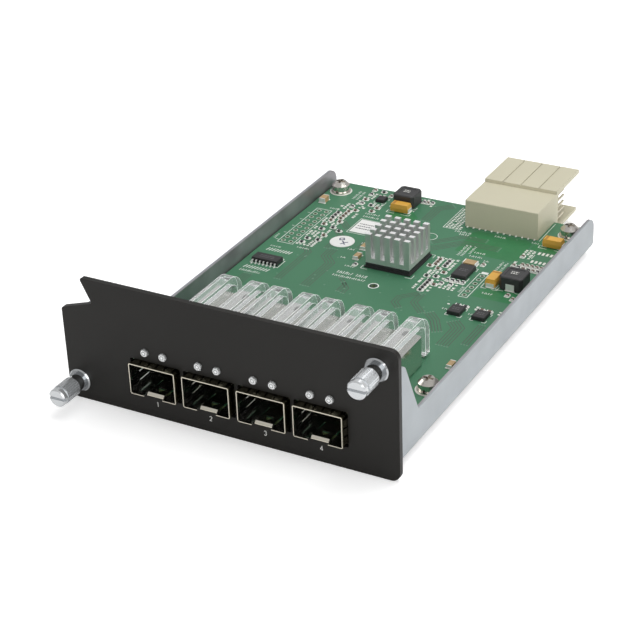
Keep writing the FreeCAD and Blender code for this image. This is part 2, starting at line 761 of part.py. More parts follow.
def port_socket(x):
    """The card-edge connector at the back of a cage, with a slot for the module's card."""
    front = socket_front_y()
    rear = front + socket_depth
    slot_middle = board_top_z + card_slot_z
    half = card_slot_height / 2
    chamfer = half / 2
    body = plate_yz([
        (front, board_top_z, 0), (rear, board_top_z, 0),
        (rear, board_top_z + socket_height - socket_chamfer, 0),
        (rear - socket_chamfer, board_top_z + socket_height, 0), (front, board_top_z + socket_height, 0),
        (front, slot_middle + half + chamfer, 0), (front + chamfer, slot_middle + half, 0),
        (front + card_slot_depth, slot_middle + half, 0),
        (front + card_slot_depth, slot_middle - half, 0), (front + chamfer, slot_middle - half, 0),
        (front, slot_middle - half - chamfer, 0)], x - socket_width / 2, x + socket_width / 2)
    ends = [block(x + side * (card_slot_width + socket_width) / 4 - (socket_width - card_slot_width) / 4,
                  x + side * (card_slot_width + socket_width) / 4 + (socket_width - card_slot_width) / 4,
                  front, front + card_slot_depth, slot_middle - half - chamfer, slot_middle + half + chamfer)
            for side in (-1, 1)]
    return body.fuse(ends).removeSplitter()


def socket_blades():
    """Contact blades in every socket: one row above the card slot and one below it."""
    front = socket_front_y()
    slot_middle = board_top_z + card_slot_z
    half = card_slot_height / 2
    pieces = []
    for x in port_places:
        for i in range(blade_count):
            at = x + (i - (blade_count - 1) / 2) * blade_pitch
            sides = (at - blade_width / 2, at + blade_width / 2)
            for level in (-1, 1):
                z = slot_middle + level * (half - blade_thickness / 2)
                pieces.append(block(*sides, front + 0.8, front + card_slot_depth,
                                    z - blade_thickness / 2, z + blade_thickness / 2))
    return Part.makeCompound(pieces)


# ------------------------------------------------------------------------------ light pipes
def light_pipe(x):
    """Two clear arms from the panel, over the cage and down behind it.

    A bridge that joins them lies on the cage, and a peg behind the cage stands on the board.
    """
    pieces = []
    bend_y = pipe_rear_y - pipe_bend_radius
    bend_z = pipe_top_z - pipe_bend_radius
    inner = pipe_bend_radius - pipe_thickness
    foot_z = board_top_z + light_height + pipe_foot_gap
    slant = math.sqrt(0.5)
    for side in (-1, 1):
        tip_x = x + side * light_pitch / 2
        arm_x = x + side * light_foot_pitch / 2
        neck, half = pipe_neck_width / 2, pipe_width / 2
        radius = light_tip_diameter / 2
        tip = turned([(0, -light_tip_proud), (radius - light_tip_chamfer, -light_tip_proud),
                      (radius, light_tip_chamfer - light_tip_proud), (radius, pipe_neck_y + radius),
                      (0, pipe_neck_y + radius)], tip_x, light_z)
        arm = plate_xy([(tip_x - neck, pipe_neck_y, 0), (tip_x + neck, pipe_neck_y, 0),
                        (arm_x + half, pipe_spread_y, 2), (arm_x + half, bend_y, 0),
                        (arm_x - half, bend_y, 0), (arm_x - half, pipe_spread_y, 2)],
                       pipe_under_z, pipe_top_z)
        turn = Part.Wire([
            Part.LineSegment(V(0, bend_y, bend_z + inner), V(0, bend_y, pipe_top_z)).toShape(),
            Part.Arc(V(0, bend_y, pipe_top_z),
                     V(0, bend_y + pipe_bend_radius * slant, bend_z + pipe_bend_radius * slant),
                     V(0, pipe_rear_y, bend_z)).toShape(),
            Part.LineSegment(V(0, pipe_rear_y, bend_z), V(0, pipe_rear_y, foot_z)).toShape(),
            Part.LineSegment(V(0, pipe_rear_y, foot_z),
                             V(0, pipe_rear_y - pipe_thickness, foot_z)).toShape(),
            Part.LineSegment(V(0, pipe_rear_y - pipe_thickness, foot_z),
                             V(0, pipe_rear_y - pipe_thickness, bend_z)).toShape(),
            Part.Arc(V(0, pipe_rear_y - pipe_thickness, bend_z),
                     V(0, bend_y + inner * slant, bend_z + inner * slant),
                     V(0, bend_y, bend_z + inner)).toShape()])
        leg = Part.Face(turn).extrude(V(pipe_width, 0, 0))
        leg.translate(V(arm_x - half, 0, 0))
        pieces += [tip, arm, leg]
    bridge = block(x - light_foot_pitch / 2, x + light_foot_pitch / 2, pipe_bridge_y,
                   pipe_bridge_y + pipe_bridge_length, cage_top_z, pipe_under_z + pipe_thickness / 2)
    peg_y = (cage_rear_y + pipe_rear_y - pipe_thickness) / 2
    peg = rod_z(x - light_foot_pitch / 2, peg_y, pipe_peg_diameter, board_top_z,
                pipe_under_z + pipe_thickness / 2)
    return bridge.fuse(pieces + [peg]).removeSplitter()


def status_lights():
    pieces = []
    y = pipe_rear_y - pipe_thickness / 2
    for x in port_places:
        for side in (-1, 1):
            pieces.append(block_at(x + side * light_foot_pitch / 2, y, light_length, light_width,
                                   board_top_z, board_top_z + light_height))
    return Part.makeCompound(pieces)


# ------------------------------------------------------------------------------ backplane connector
def plug_housing():
    """Moulded block on the board's rear edge, with a ribbed plate above its mouth and one below."""
    left, right = plug_x - plug_width / 2, plug_x + plug_width / 2
    upper_top = plug_top_z + upper_plate_rise
    upper_step_y = board_rear_y + upper_plate_step_reach
    lower_top = board_bottom_z - lower_plate_drop
    lower_bottom = lower_top - lower_plate_thickness
    lower_mouth_y = plug_mouth_y - lower_plate_mouth_setback
    edge_y = board_rear_y + plug_board_gap
    side_view = [
        (plug_front_y, board_top_z, 0), (edge_y, board_top_z, 0), (edge_y, lower_bottom, 0),
        (lower_mouth_y, lower_bottom, 0), (lower_mouth_y, lower_top, 0),
        (plug_block_rear_y, lower_top, 0), (plug_block_rear_y, upper_top - upper_plate_thickness, 0),
        (plug_mouth_y, upper_top - upper_plate_thickness, 0), (plug_mouth_y, upper_top - 0.5, 0),
        (plug_mouth_y - 0.5, upper_top, 0), (upper_step_y, upper_top, 0), (upper_step_y, plug_top_z, 0),
        (plug_front_y, plug_top_z, 0.3)]
    housing = plate_yz(side_view, left, right)
    cuts = []
    for i in range(plate_groove_count):
        x = left + plug_width * (i + 1) / (plate_groove_count + 1)
        cuts.append(block(x - plate_groove_width / 2, x + plate_groove_width / 2,
                          upper_step_y - 1, plug_mouth_y + 1,
                          upper_top - plate_groove_depth, upper_top + 1))
    return housing.cut(cuts)


def plug_pins():
    """Square pins bent down inside the housing; their tails press into the board.

    A row that leaves the housing below its run over the board steps down behind the board's edge.
    """
    half = pin_size / 2
    tip_y = board_rear_y + pin_tip_reach
    tail_z = board_top_z - pin_tail_length
    riser_y = board_rear_y + plug_board_gap + plug_block_reach / 2
    pieces = []
    for row in range(pin_rows):
        z = board_top_z - pin_first_row_drop + row * pin_pitch
        run_z = max(z, board_top_z + pin_pitch / 2)
        tail_y = board_rear_y - pin_tail_inset + (pin_rows - 1 - row) * pin_pitch
        outline = [(tail_y - half, tail_z, 0), (tail_y + half, tail_z, 0), (tail_y + half, run_z - half, 0)]
        if run_z > z:
            outline += [(riser_y - half, run_z - half, 0), (riser_y - half, z - half, 0)]
        outline += [(tip_y, z - half, 0), (tip_y, z + half, 0)]
        if run_z > z:
            outline += [(riser_y + half, z + half, 0), (riser_y + half, run_z + half, 0)]
        outline.append((tail_y - half, run_z + half, 0))
        for column in range(pin_columns):
            x = plug_x + (column - (pin_columns - 1) / 2) * pin_pitch
            pieces.append(plate_yz(outline, x - half, x + half))
    return Part.makeCompound(pieces)


# ------------------------------------------------------------------------------ chips and heatsink
chip_top_z = board_top_z + chip_substrate_height + chip_mould_height
sink_bottom_z = chip_top_z + pad_thickness
chip_x, chip_y = on_board(*switch_chip_place)
logic_x, logic_y = on_board(*logic_chip_place)


def switch_chip():
    middle = board_top_z + chip_substrate_height
    mould = chip_side - 2 * chip_mould_inset
    return block_at(chip_x, chip_y, chip_side, chip_side, board_top_z, middle).fuse(
        block_at(chip_x, chip_y, mould, mould, middle, chip_top_z))


def thermal_pad():
    return block_at(chip_x, chip_y, sink_side - 0.4, sink_side - 0.4, chip_top_z, sink_bottom_z)


def heatsink():
    """A square base with a grid of upright pins."""
    base_top = sink_bottom_z + sink_base_height
    base = block_at(chip_x, chip_y, sink_side, sink_side, sink_bottom_z, base_top)
    step_x = (sink_side - sink_pin_width) / (sink_pins - 1)
    step_y = (sink_side - sink_pin_depth) / (sink_pins - 1)
    pins = [block_at(chip_x + (i - (sink_pins - 1) / 2) * step_x, chip_y + (j - (sink_pins - 1) / 2) * step_y,
                     sink_pin_width, sink_pin_depth, base_top, sink_bottom_z + sink_height)
            for i in range(sink_pins) for j in range(sink_pins)]
    return base.fuse(pins).removeSplitter()


def logic_chip():
    """Moulded body with sides that slope to a parting line at half its height."""
    low = board_top_z + logic_standoff
    high = board_top_z + logic_height
    middle = (low + high) / 2
    slope = 0.12
    length, width = logic_length / 2, logic_width / 2

    def level(inset, z):
        corners = rectangle(logic_x - length + inset, logic_x + length - inset,
                            logic_y - width + inset, logic_y + width - inset)
        return rounded_wire(corners, lambda p: V(p.x, p.y, z))

    lower = Part.makeLoft([level(slope, low), level(0, middle)], True, True)
    upper = Part.makeLoft([level(0, middle), level(slope, high)], True, True)
    return lower.fuse(upper)


def logic_leads():
    """Gull-wing leads: out of the body, down, and flat on the board."""
    t = lead_thickness
    shoulder_z = (board_top_z + logic_standoff + board_top_z + logic_height) / 2
    pieces = []
    for side in (-1, 1):
        root = logic_width / 2
        path = [(root, shoulder_z - t / 2), (root + 0.3, shoulder_z - t / 2),
                (root + 0.3 + t / 2, board_top_z), (root + lead_reach + t, board_top_z),
                (root + lead_reach + t, board_top_z + t), (root + 0.3 + 1.5 * t, board_top_z + t),
                (root + 0.3 + t, shoulder_z + t / 2), (root, shoulder_z + t / 2)]
        for i in range(lead_count_per_side):
            x = logic_x + (i - (lead_count_per_side - 1) / 2) * lead_pitch
            outline = [(logic_y + side * y, z, 0) for y, z in path]
            pieces.append(plate_yz(outline, x - lead_width / 2, x + lead_width / 2))
    return Part.makeCompound(pieces)


def flat_chip(place, length, width, height):
    """A no-lead package with a narrow chamfer round its top."""
    x, y = on_board(*place)
    body = block_at(x, y, length, width, board_top_z, board_top_z + height)
    top = [e for e in body.Edges
           if all(abs(v.Z - board_top_z - height) < 1e-6 for v in e.Vertexes)]
    return body.makeChamfer(chip_edge_chamfer, top)


def inductor(across, along):
    """A moulded block with cut corners and a low rim round its top face."""
    x, y = on_board(across, along)
    half = inductor_side / 2
    cut = inductor_chamfer
    top = board_top_z + inductor_height

    def eight_sides(inset):
        a, b = half - inset, half - cut - inset * 0.4
        return [(x - b, y - a, 0), (x + b, y - a, 0), (x + a, y - b, 0), (x + a, y + b, 0),
                (x + b, y + a, 0), (x - b, y + a, 0), (x - a, y + b, 0), (x - a, y - b, 0)]

    body = plate_xy(eight_sides(0), board_top_z, top)
    edges = [e for e in body.Edges if all(abs(v.Z - top) < 1e-6 for v in e.Vertexes)]
    body = body.makeChamfer(inductor_rim_width / 2, edges)
    dish = plate_xy(eight_sides(inductor_rim_width * 2), top - inductor_rim_depth, top + 1)
    return body.cut(dish)


def tantalum(across, along, along_y):
    """A moulded block, drafted from a parting line, that sits on its folded end strips."""
    x, y = on_board(across, along)
    length, width = (tantalum_width, tantalum_length) if along_y else (tantalum_length, tantalum_width)
    low = board_top_z + end_cap_length / 2
    middle = low + (tantalum_height - end_cap_length / 2) / 2
    high = board_top_z + tantalum_height

    def level(inset, z):
        corners = rectangle(x - length / 2 + inset, x + length / 2 - inset,
                            y - width / 2 + inset, y + width / 2 - inset)
        return rounded_wire(corners, lambda p: V(p.x, p.y, z))

    lower = Part.makeLoft([level(tantalum_draft / 2, low), level(0, middle)], True, True)
    upper = Part.makeLoft([level(0, middle), level(tantalum_draft, high)], True, True)
    return lower.fuse(upper)


def all_resistor_places():
    return chip_resistor_places + in_rows(chip_resistor_rows)


def all_capacitor_places():
    return chip_capacitor_places + in_rows(chip_capacitor_rows)


def chip_body(across, along, along_y):
    """The middle of a chip resistor or capacitor, between its end caps."""
    return end_to_end(across, along, along_y, chip_part_length, chip_part_width, chip_part_height)


def end_to_end(across, along, along_y, length, width, height):
    """A block that leaves room for an end cap at each end of its length."""
    x, y = on_board(across, along)
    core = length - 2 * end_cap_length
    size = (width, core) if along_y else (core, width)
    return block_at(x, y, *size, board_top_z, board_top_z + height)


def end_pair(across, along, along_y, span, cap, width, height):
    """Two metal ends, their outer faces a span apart."""
    x, y = on_board(across, along)
    pieces = []
    for side in (-1, 1):
        offset = side * (span - cap) / 2
        if along_y:
            pieces.append(block_at(x, y + offset, width, cap, board_top_z, board_top_z + height))
        else:
            pieces.append(block_at(x + offset, y, cap, width, board_top_z, board_top_z + height))
    return pieces


def ceramic_blocks():
    return Part.makeCompound([end_to_end(*place, *size) for *place, size in ceramic_places])


def part_terminals():
    """Metal ends of every chip part, ceramic block, tantalum capacitor and inductor."""
    pieces = []
    for place in all_resistor_places() + all_capacitor_places():
        pieces += end_pair(*place, chip_part_length, end_cap_length, chip_part_width, chip_part_height)
    for *place, (length, width, height) in ceramic_places:
        pieces += end_pair(*place, length, end_cap_length, width, height)
    strip = end_cap_length / 2
    for place in tantalum_places:
        under = end_pair(*place, tantalum_length, tantalum_terminal_length, tantalum_terminal_width, strip)
        rise = end_pair(*place, tantalum_length + 2 * strip, strip, tantalum_terminal_width,
                        tantalum_height / 2)
        pieces += [flat.fuse(upright).removeSplitter() for flat, upright in zip(under, rise)]
    for place in inductor_places:
        pieces += end_pair(*place, True, inductor_side + 2 * strip, strip, inductor_terminal_width,
                           inductor_height / 2)
    return Part.makeCompound(pieces)


def board_label():
    return block_at(*on_board(*label_place), label_length, label_width,
                    board_top_z, board_top_z + label_thickness)


def board_sticker():
    return rod_z(*on_board(*sticker_place), sticker_diameter, board_top_z, board_top_z + label_thickness)


# ------------------------------------------------------------------------------ captive thumbscrews
def ferrule(x, z):
    """Flanged sleeve pressed into the panel; its tube guides the knob and holds the spring."""
    flange = ferrule_flange_thickness
    tube_front = -flange - ferrule_tube_length
    spring_seat = panel_back_y - ferrule_floor
    hole = stem_neck_diameter / 2 + stem_neck_fit
    return turned([
        (hole, panel_back_y), (ferrule_seat_diameter / 2, panel_back_y), (ferrule_seat_diameter / 2, 0),
        (ferrule_flange_diameter / 2, 0), (ferrule_flange_diameter / 2, -flange * 0.6),
        (ferrule_flange_diameter / 2 - flange * 0.4, -flange), (ferrule_tube_diameter / 2, -flange),
        (ferrule_tube_diameter / 2, tube_front), (ferrule_tube_bore / 2, tube_front),
        (ferrule_tube_bore / 2, spring_seat), (hole, spring_seat)], x, z)


def knob_cup_end():
    """Y of the bottom of the knob's cup, which stays clear of the tube over the whole travel."""
    return -(ferrule_flange_thickness + ferrule_tube_length + knob_travel + 0.3)


def knob(x, z):
    """A cup that slides on the ferrule: knurled skirt, groove and slotted head."""
    outer = knob_diameter / 2
    bore = ferrule_tube_diameter / 2 + knob_fit
    head = knob_head_diameter / 2
    head_rear = knob_front_y + knob_head_length
    groove_rear = head_rear + knob_groove_length
    groove = head - knob_groove_depth
    socket = stem_neck_diameter / 2 + seat_fit
    body = turned([
        (socket, knob_cup_end()), (bore, knob_cup_end()), (bore, knob_rear_y),
        (outer - knob_chamfer / 2, knob_rear_y), (outer, knob_rear_y - knob_chamfer / 2),
        (outer, groove_rear), (groove, groove_rear), (groove, head_rear), (head, head_rear),
        (head, knob_front_y + knob_chamfer), (head - knob_chamfer, knob_front_y),
        (0, knob_front_y), (0, head_rear), (socket, head_rear)], x, z)
    cuts = []
    angle = 2 * math.pi / knurl_teeth
    half = math.sin(angle * 0.28) * outer
    for i in range(knurl_teeth):
        a = i * angle
        out = V(math.cos(a), 0, math.sin(a))
        across = V(-math.sin(a), 0, math.cos(a))
        centre = V(x, groove_rear, z)
        tip = centre + out * (outer - knurl_depth)
        far = outer + 0.1
        corners = [tip, centre + out * far + across * half, centre + out * far - across * half]
        groove_cut = Part.Face(Part.makePolygon(corners + corners[:1]))
        cuts.append(groove_cut.extrude(V(0, knob_rear_y - groove_rear, 0)))
    cuts.append(block(x - outer - 1, x + outer + 1, knob_front_y - 1, knob_front_y + knob_slot_depth,
                      z - knob_slot_width / 2, z + knob_slot_width / 2))
    return body.cut(cuts)


def ring_front_y():
    """The retaining ring lies against the ferrule's back when the knob is out."""
    return panel_back_y


def stem(x, z):
    """Threaded stem: a thin neck through the ferrule and spring, a ring groove and the thread."""
    neck = stem_neck_diameter / 2
    thread = stem_diameter / 2
    root = knob_front_y + knob_head_length
    ring_rear = ring_front_y() + ring_thickness
    end = ring_rear + stem_reach
    return turned([
        (0, root), (neck, root), (neck, ring_rear), (thread, ring_rear), (thread, end - stem_point),
        (thread - stem_point, end), (0, end)], x, z)


def retaining_ring(x, z):
    """An open spring ring in the stem's neck, between the ferrule and the thread."""
    front = ring_front_y()
    bore = stem_neck_diameter / 2 + 0.02
    ring = turned([(bore, front), (ring_diameter / 2, front), (ring_diameter / 2, front + ring_thickness),
                   (bore, front + ring_thickness)], x, z)
    half = math.radians(ring_gap_angle / 2)
    reach = ring_diameter
    a = V(x, front - 1, z)
    b = V(x + reach * math.cos(half), front - 1, z + reach * math.sin(half))
    c = V(x + reach * math.cos(half), front - 1, z - reach * math.sin(half))
    wedge = Part.Face(Part.makePolygon([a, b, c, a])).extrude(V(0, ring_thickness + 2, 0))
    return ring.cut(wedge)


def coil_spring(x, z):
    """A round-wire spring between the ferrule's floor and the bottom of the knob's cup."""
    mean = (ferrule_tube_bore / 2 + stem_neck_diameter / 2) / 2
    start = panel_back_y - ferrule_floor - spring_wire / 2 - 0.02
    end = knob_cup_end() + spring_wire / 2 + 0.02
    length = start - end
    sides = 8
    steps = spring_turns * sides
    points = [V(mean * math.cos(2 * math.pi * i / sides), mean * math.sin(2 * math.pi * i / sides),
                length * i / steps) for i in range(steps + 1)]
    path = Part.makePolygon(points)
    along = (points[1] - points[0]).normalize()
    section = Part.Wire([Part.makePolygon(
        [points[0] + offset for offset in square_offsets(along, spring_wire)])])
    coil = path.makePipeShell([section], True, False, 1)
    coil.rotate(V(0, 0, 0), V(1, 0, 0), -90)
    coil.translate(V(x, end, z))
    return coil


def square_offsets(along, size):
    """The corners of a closed square of the wire's size, square to a direction."""
    side = along.cross(V(0, 0, 1)).normalize()
    up = side.cross(along).normalize()
    half = size / 2
    signs = ((-1, -1), (1, -1), (1, 1), (-1, 1), (-1, -1))
    return [side * (a * half) + up * (b * half) for a, b in signs]


# ------------------------------------------------------------------------------ all nodes
def main():
    write("front_panel", front_panel())
    write("panel_studs", panel_studs())
    write("panel_nuts", panel_nuts())
    write("carrier_tray", carrier_tray())
    write("circuit_board", circuit_board())
    write("standoffs", standoffs())
    write("flat_washers", flat_washers())
    write("lock_washers", lock_washers())
    write("board_screws", board_screws())
    for number, x in enumerate(port_places, 1):
        write(f"port_cage_{number}", port_cage(x))
        write(f"finger_gasket_{number}", finger_gasket(x))
        write(f"port_socket_{number}", port_socket(x))
        write(f"light_pipe_{number}", light_pipe(x))
    write("socket_blades", socket_blades())
    write("status_lights", status_lights())
    write("backplane_plug", plug_housing())
    write("plug_pins", plug_pins())
    write("switch_chip", switch_chip())
    write("thermal_pad", thermal_pad())
    write("heatsink", heatsink())
    write("logic_chip", logic_chip())
    write("logic_leads", logic_leads())
    write("controller_chip", flat_chip(controller_chip_place, *controller_chip_size))
    for number, place in enumerate(driver_chip_places, 1):
        write(f"driver_chip_{number}", flat_chip(place, *driver_chip_size))
    write("regulator_chip", flat_chip(regulator_chip_place, *regulator_chip_size))
    for number, place in enumerate(inductor_places, 1):
        write(f"inductor_{number}", inductor(*place))
    for number, place in enumerate(tantalum_places, 1):
        write(f"tantalum_capacitor_{number}", tantalum(*place))
    write("ceramic_capacitors", ceramic_blocks())
    write("chip_resistors", Part.makeCompound([chip_body(*place) for place in all_resistor_places()]))
    write("chip_capacitors", Part.makeCompound([chip_body(*place) for place in all_capacitor_places()]))
    write("part_terminals", part_terminals())
    write("board_label", board_label())
    write("board_sticker", board_sticker())
    for side, x, z in screw_places():
        write(f"{side}_ferrule", ferrule(x, z))
        write(f"{side}_knob", knob(x, z))
        write(f"{side}_stem", stem(x, z))
        write(f"{side}_retaining_ring", retaining_ring(x, z))
        write(f"{side}_spring", coil_spring(x, z))
    print("Y runs from", round(front_y - middle_y, 3), "to", round(plug_mouth_y - middle_y, 3))


main()
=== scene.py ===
# %% [markdown]
# # A switch line card
# The card is a plug-in module: a dark steel panel with four ports, and behind it a circuit board on a
# folded tray, with a backplane connector at its far end. Its rigid pieces come from the CAD model, already
# in place and in metres. This lesson gives each of them its finish, puts smooth copies in the place of the
# round ones, and adds what is too thin or too small for the CAD model: printed lines, tin pads, copper
# tracks, screw threads and the rings on the tips of the light pipes.

# %% Load the card
import json
import math

import bpy
import numpy as np
from mathutils import Matrix, Vector

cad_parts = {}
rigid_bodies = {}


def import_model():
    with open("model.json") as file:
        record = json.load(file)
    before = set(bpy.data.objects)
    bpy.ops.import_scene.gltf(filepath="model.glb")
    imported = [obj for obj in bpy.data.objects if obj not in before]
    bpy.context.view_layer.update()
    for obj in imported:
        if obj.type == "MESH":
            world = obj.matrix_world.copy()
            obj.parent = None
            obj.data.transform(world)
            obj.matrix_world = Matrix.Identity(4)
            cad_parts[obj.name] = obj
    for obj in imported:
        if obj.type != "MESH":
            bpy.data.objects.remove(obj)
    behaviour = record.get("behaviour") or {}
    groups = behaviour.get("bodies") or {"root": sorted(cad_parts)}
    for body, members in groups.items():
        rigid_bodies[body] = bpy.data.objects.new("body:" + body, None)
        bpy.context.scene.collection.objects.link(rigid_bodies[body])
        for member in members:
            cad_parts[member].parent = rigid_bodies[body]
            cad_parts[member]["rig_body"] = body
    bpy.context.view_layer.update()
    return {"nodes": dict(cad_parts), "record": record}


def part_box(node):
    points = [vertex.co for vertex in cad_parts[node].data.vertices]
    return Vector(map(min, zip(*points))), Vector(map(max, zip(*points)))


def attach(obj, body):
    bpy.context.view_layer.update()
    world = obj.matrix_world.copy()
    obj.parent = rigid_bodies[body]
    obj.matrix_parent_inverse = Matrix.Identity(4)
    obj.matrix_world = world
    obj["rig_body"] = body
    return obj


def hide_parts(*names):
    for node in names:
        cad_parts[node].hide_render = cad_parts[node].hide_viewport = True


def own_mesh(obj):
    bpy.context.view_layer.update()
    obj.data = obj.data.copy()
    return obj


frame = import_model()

nodes = frame["nodes"]

# %% [markdown]
# ## Measures
# Every place below is worked out from the CAD model. The panel's front face and the board's upper face are
# the two planes that most pieces lie on. One helper turns millimetres into points on the board: x counts
# from a line 1.9 mm left of the board's middle, and y from the panel's front face. Two more join up the
# points of a CAD mesh and say where a node's separate solids are.

# %% Planes and places
mm = 0.001
panel_low, panel_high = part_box("front_panel")
board_low, board_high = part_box("circuit_board")
front = panel_low.y
top = board_high.z
zero_x = (board_low.x + board_high.x) / 2 - 1.9 * mm


def on_board(places):
    """Points on the board's upper face, from rows of x and y in millimetres."""
    places = np.asarray(places, float) * mm
    return np.column_stack([zero_x + places[..., 0].ravel(), front + places[..., 1].ravel(),
                            np.full(places[..., 0].size, top)])


def joined_mesh(node):
    """A CAD mesh with its points joined: points at the same place share a number. Gives all the points, the
    first point at each place, the place of each point, and the triangles between places."""
    mesh = nodes[node].data
    points = np.zeros(len(mesh.vertices) * 3)
    mesh.vertices.foreach_get("co", points)
    corners = np.zeros(len(mesh.loops), int)
    mesh.loops.foreach_get("vertex_index", corners)
    points = points.reshape(-1, 3)
    _, first, same = np.unique(np.round(points, 7), axis=0, return_index=True, return_inverse=True)
    same = same.ravel()
    return points, first, same, same[corners.reshape(-1, 3)]


def solids_of(node):
    """Lowest and highest corners of each separate solid in a node, as two arrays. Each triangle spreads
    its lowest number over its places until no number changes."""
    points, _, same, triangles = joined_mesh(node)
    label = np.arange(same.max() + 1)
    while True:
        spread = label.copy()
        np.minimum.at(spread, triangles.ravel(), np.repeat(label[triangles].min(axis=1), 3))
        if (spread == label).all():
            break
        label = spread
    owner = label[same]
    solids = [points[owner == number] for number in np.unique(owner)]
    return np.array([solid.min(0) for solid in solids]), np.array([solid.max(0) for solid in solids])


print("board top", round(top / mm, 2), "mm; panel", [round(v / mm, 1) for v in panel_high - panel_low])

# %% [markdown]
# ## Adding objects and nodes
# The studio's light and every finish are graphs of nodes. One helper adds a node with its settings and
# fills its inputs, each with a plain value or with what another node gives out. The other helper puts an
# object in the scene.

# %% Helpers for objects and nodes
def add_object(name, data):
    """A new object that shows a mesh, a lamp or a camera."""
    thing = bpy.data.objects.new(name, data)
    bpy.context.scene.collection.objects.link(thing)
    return thing


def add_node(tree, kind, feeds=None, **settings):
    """A new node. Settings are its attributes, and feeds gives an input, by name or number, a plain value
    or another node's output."""
    node = tree.nodes.new("ShaderNode" + kind)
    for label, value in settings.items():
        setattr(node, label, value)
    for label, value in (feeds or {}).items():
        if isinstance(value, bpy.types.NodeSocket):
            tree.links.new(value, node.inputs[label])
        else:
            node.inputs[label].default_value = value
    return node


print("helpers", add_object.__name__, add_node.__name__)

# %% [markdown]
# ## The camera
# The view is from the front right and above, with a long lens, so the card's far end looks only about a
# fifth smaller than its near end. The camera is placed by its bearing, height and distance round a point
# near the middle of the card, which is easier to check than three loose numbers, and it leans over by
# about two degrees.

# %% Camera
camera_bearing, camera_height, camera_lean = map(math.radians, (29.51, 28.86, -2.24))
camera_distance = 0.5128
aim = Vector((-0.0055, -0.0135, 0.0030))
ahead = Vector((-math.sin(camera_bearing) * math.cos(camera_height),
                math.cos(camera_bearing) * math.cos(camera_height), -math.sin(camera_height)))
right = ahead.cross(Vector((0, 0, 1))).normalized()
up = right.cross(ahead)
leaning_right = right * math.cos(camera_lean) + up * math.sin(camera_lean)
leaning_up = up * math.cos(camera_lean) - right * math.sin(camera_lean)
lens = bpy.data.cameras.new("camera")
lens.sensor_width = 36
lens.lens = 101.7
lens.clip_start, lens.clip_end = 0.02, 20
camera = add_object("camera", lens)
turn = Matrix((leaning_right, leaning_up, -ahead)).transposed()
camera.matrix_world = Matrix.Translation(aim - ahead * camera_distance) @ turn.to_4x4()
bpy.context.scene.camera = camera
bpy.context.scene.view_settings.view_transform = "Standard"
print("camera at", [round(v, 4) for v in camera.matrix_world.translation])

# %% [markdown]
# ## Studio
# Bright plating shows whatever stands round it, so the studio matters as much as the metal. A pale world
# gives even light, and large soft lamps stand above, to the right and in front. The background is white
# for the rays that look straight at it, and partly so for those that come through clear plastic or off
# metal, which keeps it white without putting more light on the card. The world's own colour is a grey of
# 0.8, so a strength of 1.25 makes it white.

# %% World and lamps
world = bpy.data.worlds.new("studio")
bpy.context.scene.world = world
world.use_nodes = True
tree = world.node_tree
tree.nodes.clear()
ray = add_node(tree, "LightPath")
seen = ray.outputs["Is Camera Ray"]
for kind, share in (("Is Transmission Ray", 0.20), ("Is Glossy Ray", 0.13)):
    seen = add_node(tree, "Math", {0: ray.outputs[kind], 1: share, 2: seen},
                    operation="MULTIPLY_ADD").outputs[0]
light_strength, white_strength = 0.52, 1.25
level = add_node(tree, "Mix", {"Factor": seen, "A": light_strength, "B": white_strength})
air = add_node(tree, "Background", {"Strength": level.outputs["Result"]})
add_node(tree, "OutputWorld", {"Surface": air.outputs[0]})


def softbox(name, place, size, watts):
    """A square lamp that faces the point on the floor below the middle of the card."""
    lamp = bpy.data.lights.new(name, "AREA")
    lamp.energy, lamp.size = watts, size
    holder = add_object(name, lamp)
    holder.location = place
    holder.rotation_mode = "QUATERNION"
    holder.rotation_quaternion = (-Vector(place)).to_track_quat("-Z", "Y")


softbox("lamp_above", (0.10, 0.25, 0.85), 0.7, 5.2)
softbox("lamp_right", (0.95, -0.10, 0.30), 0.6, 3.6)
softbox("lamp_front", (0.40, -0.90, 0.25), 0.7, 3.2)

# %% [markdown]
# The floor is a wide pale sheet just below the card. To the camera it glows too, and more so with distance
# from the card, so that its far end runs into the white background without a line. No other ray sees the
# glow, so it puts no light on the card.

# %% Floor
floor_half, floor_gap = 3.0, 0.2 * mm
floor_mesh = bpy.data.meshes.new("floor")
floor_mesh.from_pydata([(x * floor_half, y * floor_half, -floor_gap)
                        for x, y in ((-1, -1), (1, -1), (1, 1), (-1, 1))], [], [(0, 1, 2, 3)])
floor = add_object("floor", floor_mesh)
floor_paint = bpy.data.materials.new("floor_paint")
floor_paint.use_nodes = True
tree = floor_paint.node_tree
shader = tree.nodes["Principled BSDF"]
for label, value in (("Base Color", (0.86, 0.86, 0.86, 1)), ("Roughness", 0.9),
                     ("Specular IOR Level", 0.1), ("Emission Color", (1, 1, 1, 1))):
    shader.inputs[label].default_value = value
place = add_node(tree, "TexCoord")
distance = add_node(tree, "VectorMath", {0: place.outputs["Object"]}, operation="LENGTH")
rise = add_node(tree, "MapRange", {"Value": distance.outputs["Value"], "From Min": 0.35, "From Max": 1.3,
                                   "To Min": 0.42, "To Max": 1.0})
ray = add_node(tree, "LightPath")
glow = add_node(tree, "Math", {0: ray.outputs["Is Camera Ray"], 1: rise.outputs["Result"]},
                operation="MULTIPLY")
tree.links.new(glow.outputs[0], shader.inputs["Emission Strength"])
floor_mesh.materials.append(floor_paint)
print("floor", 2 * floor_half, "m wide")

# %% [markdown]
# ## Shared effects
# Four effects turn up in many finishes: tone that drifts from patch to patch, gloss that drifts, a fine
# grain that bends the light, and drawn lines that run one way. Each is a node group with named sockets, so
# that a finish can place it and give it its own numbers. They all read Object coordinates, which are
# metres on this card, so that a scale of 1000 means about one wave in a millimetre.

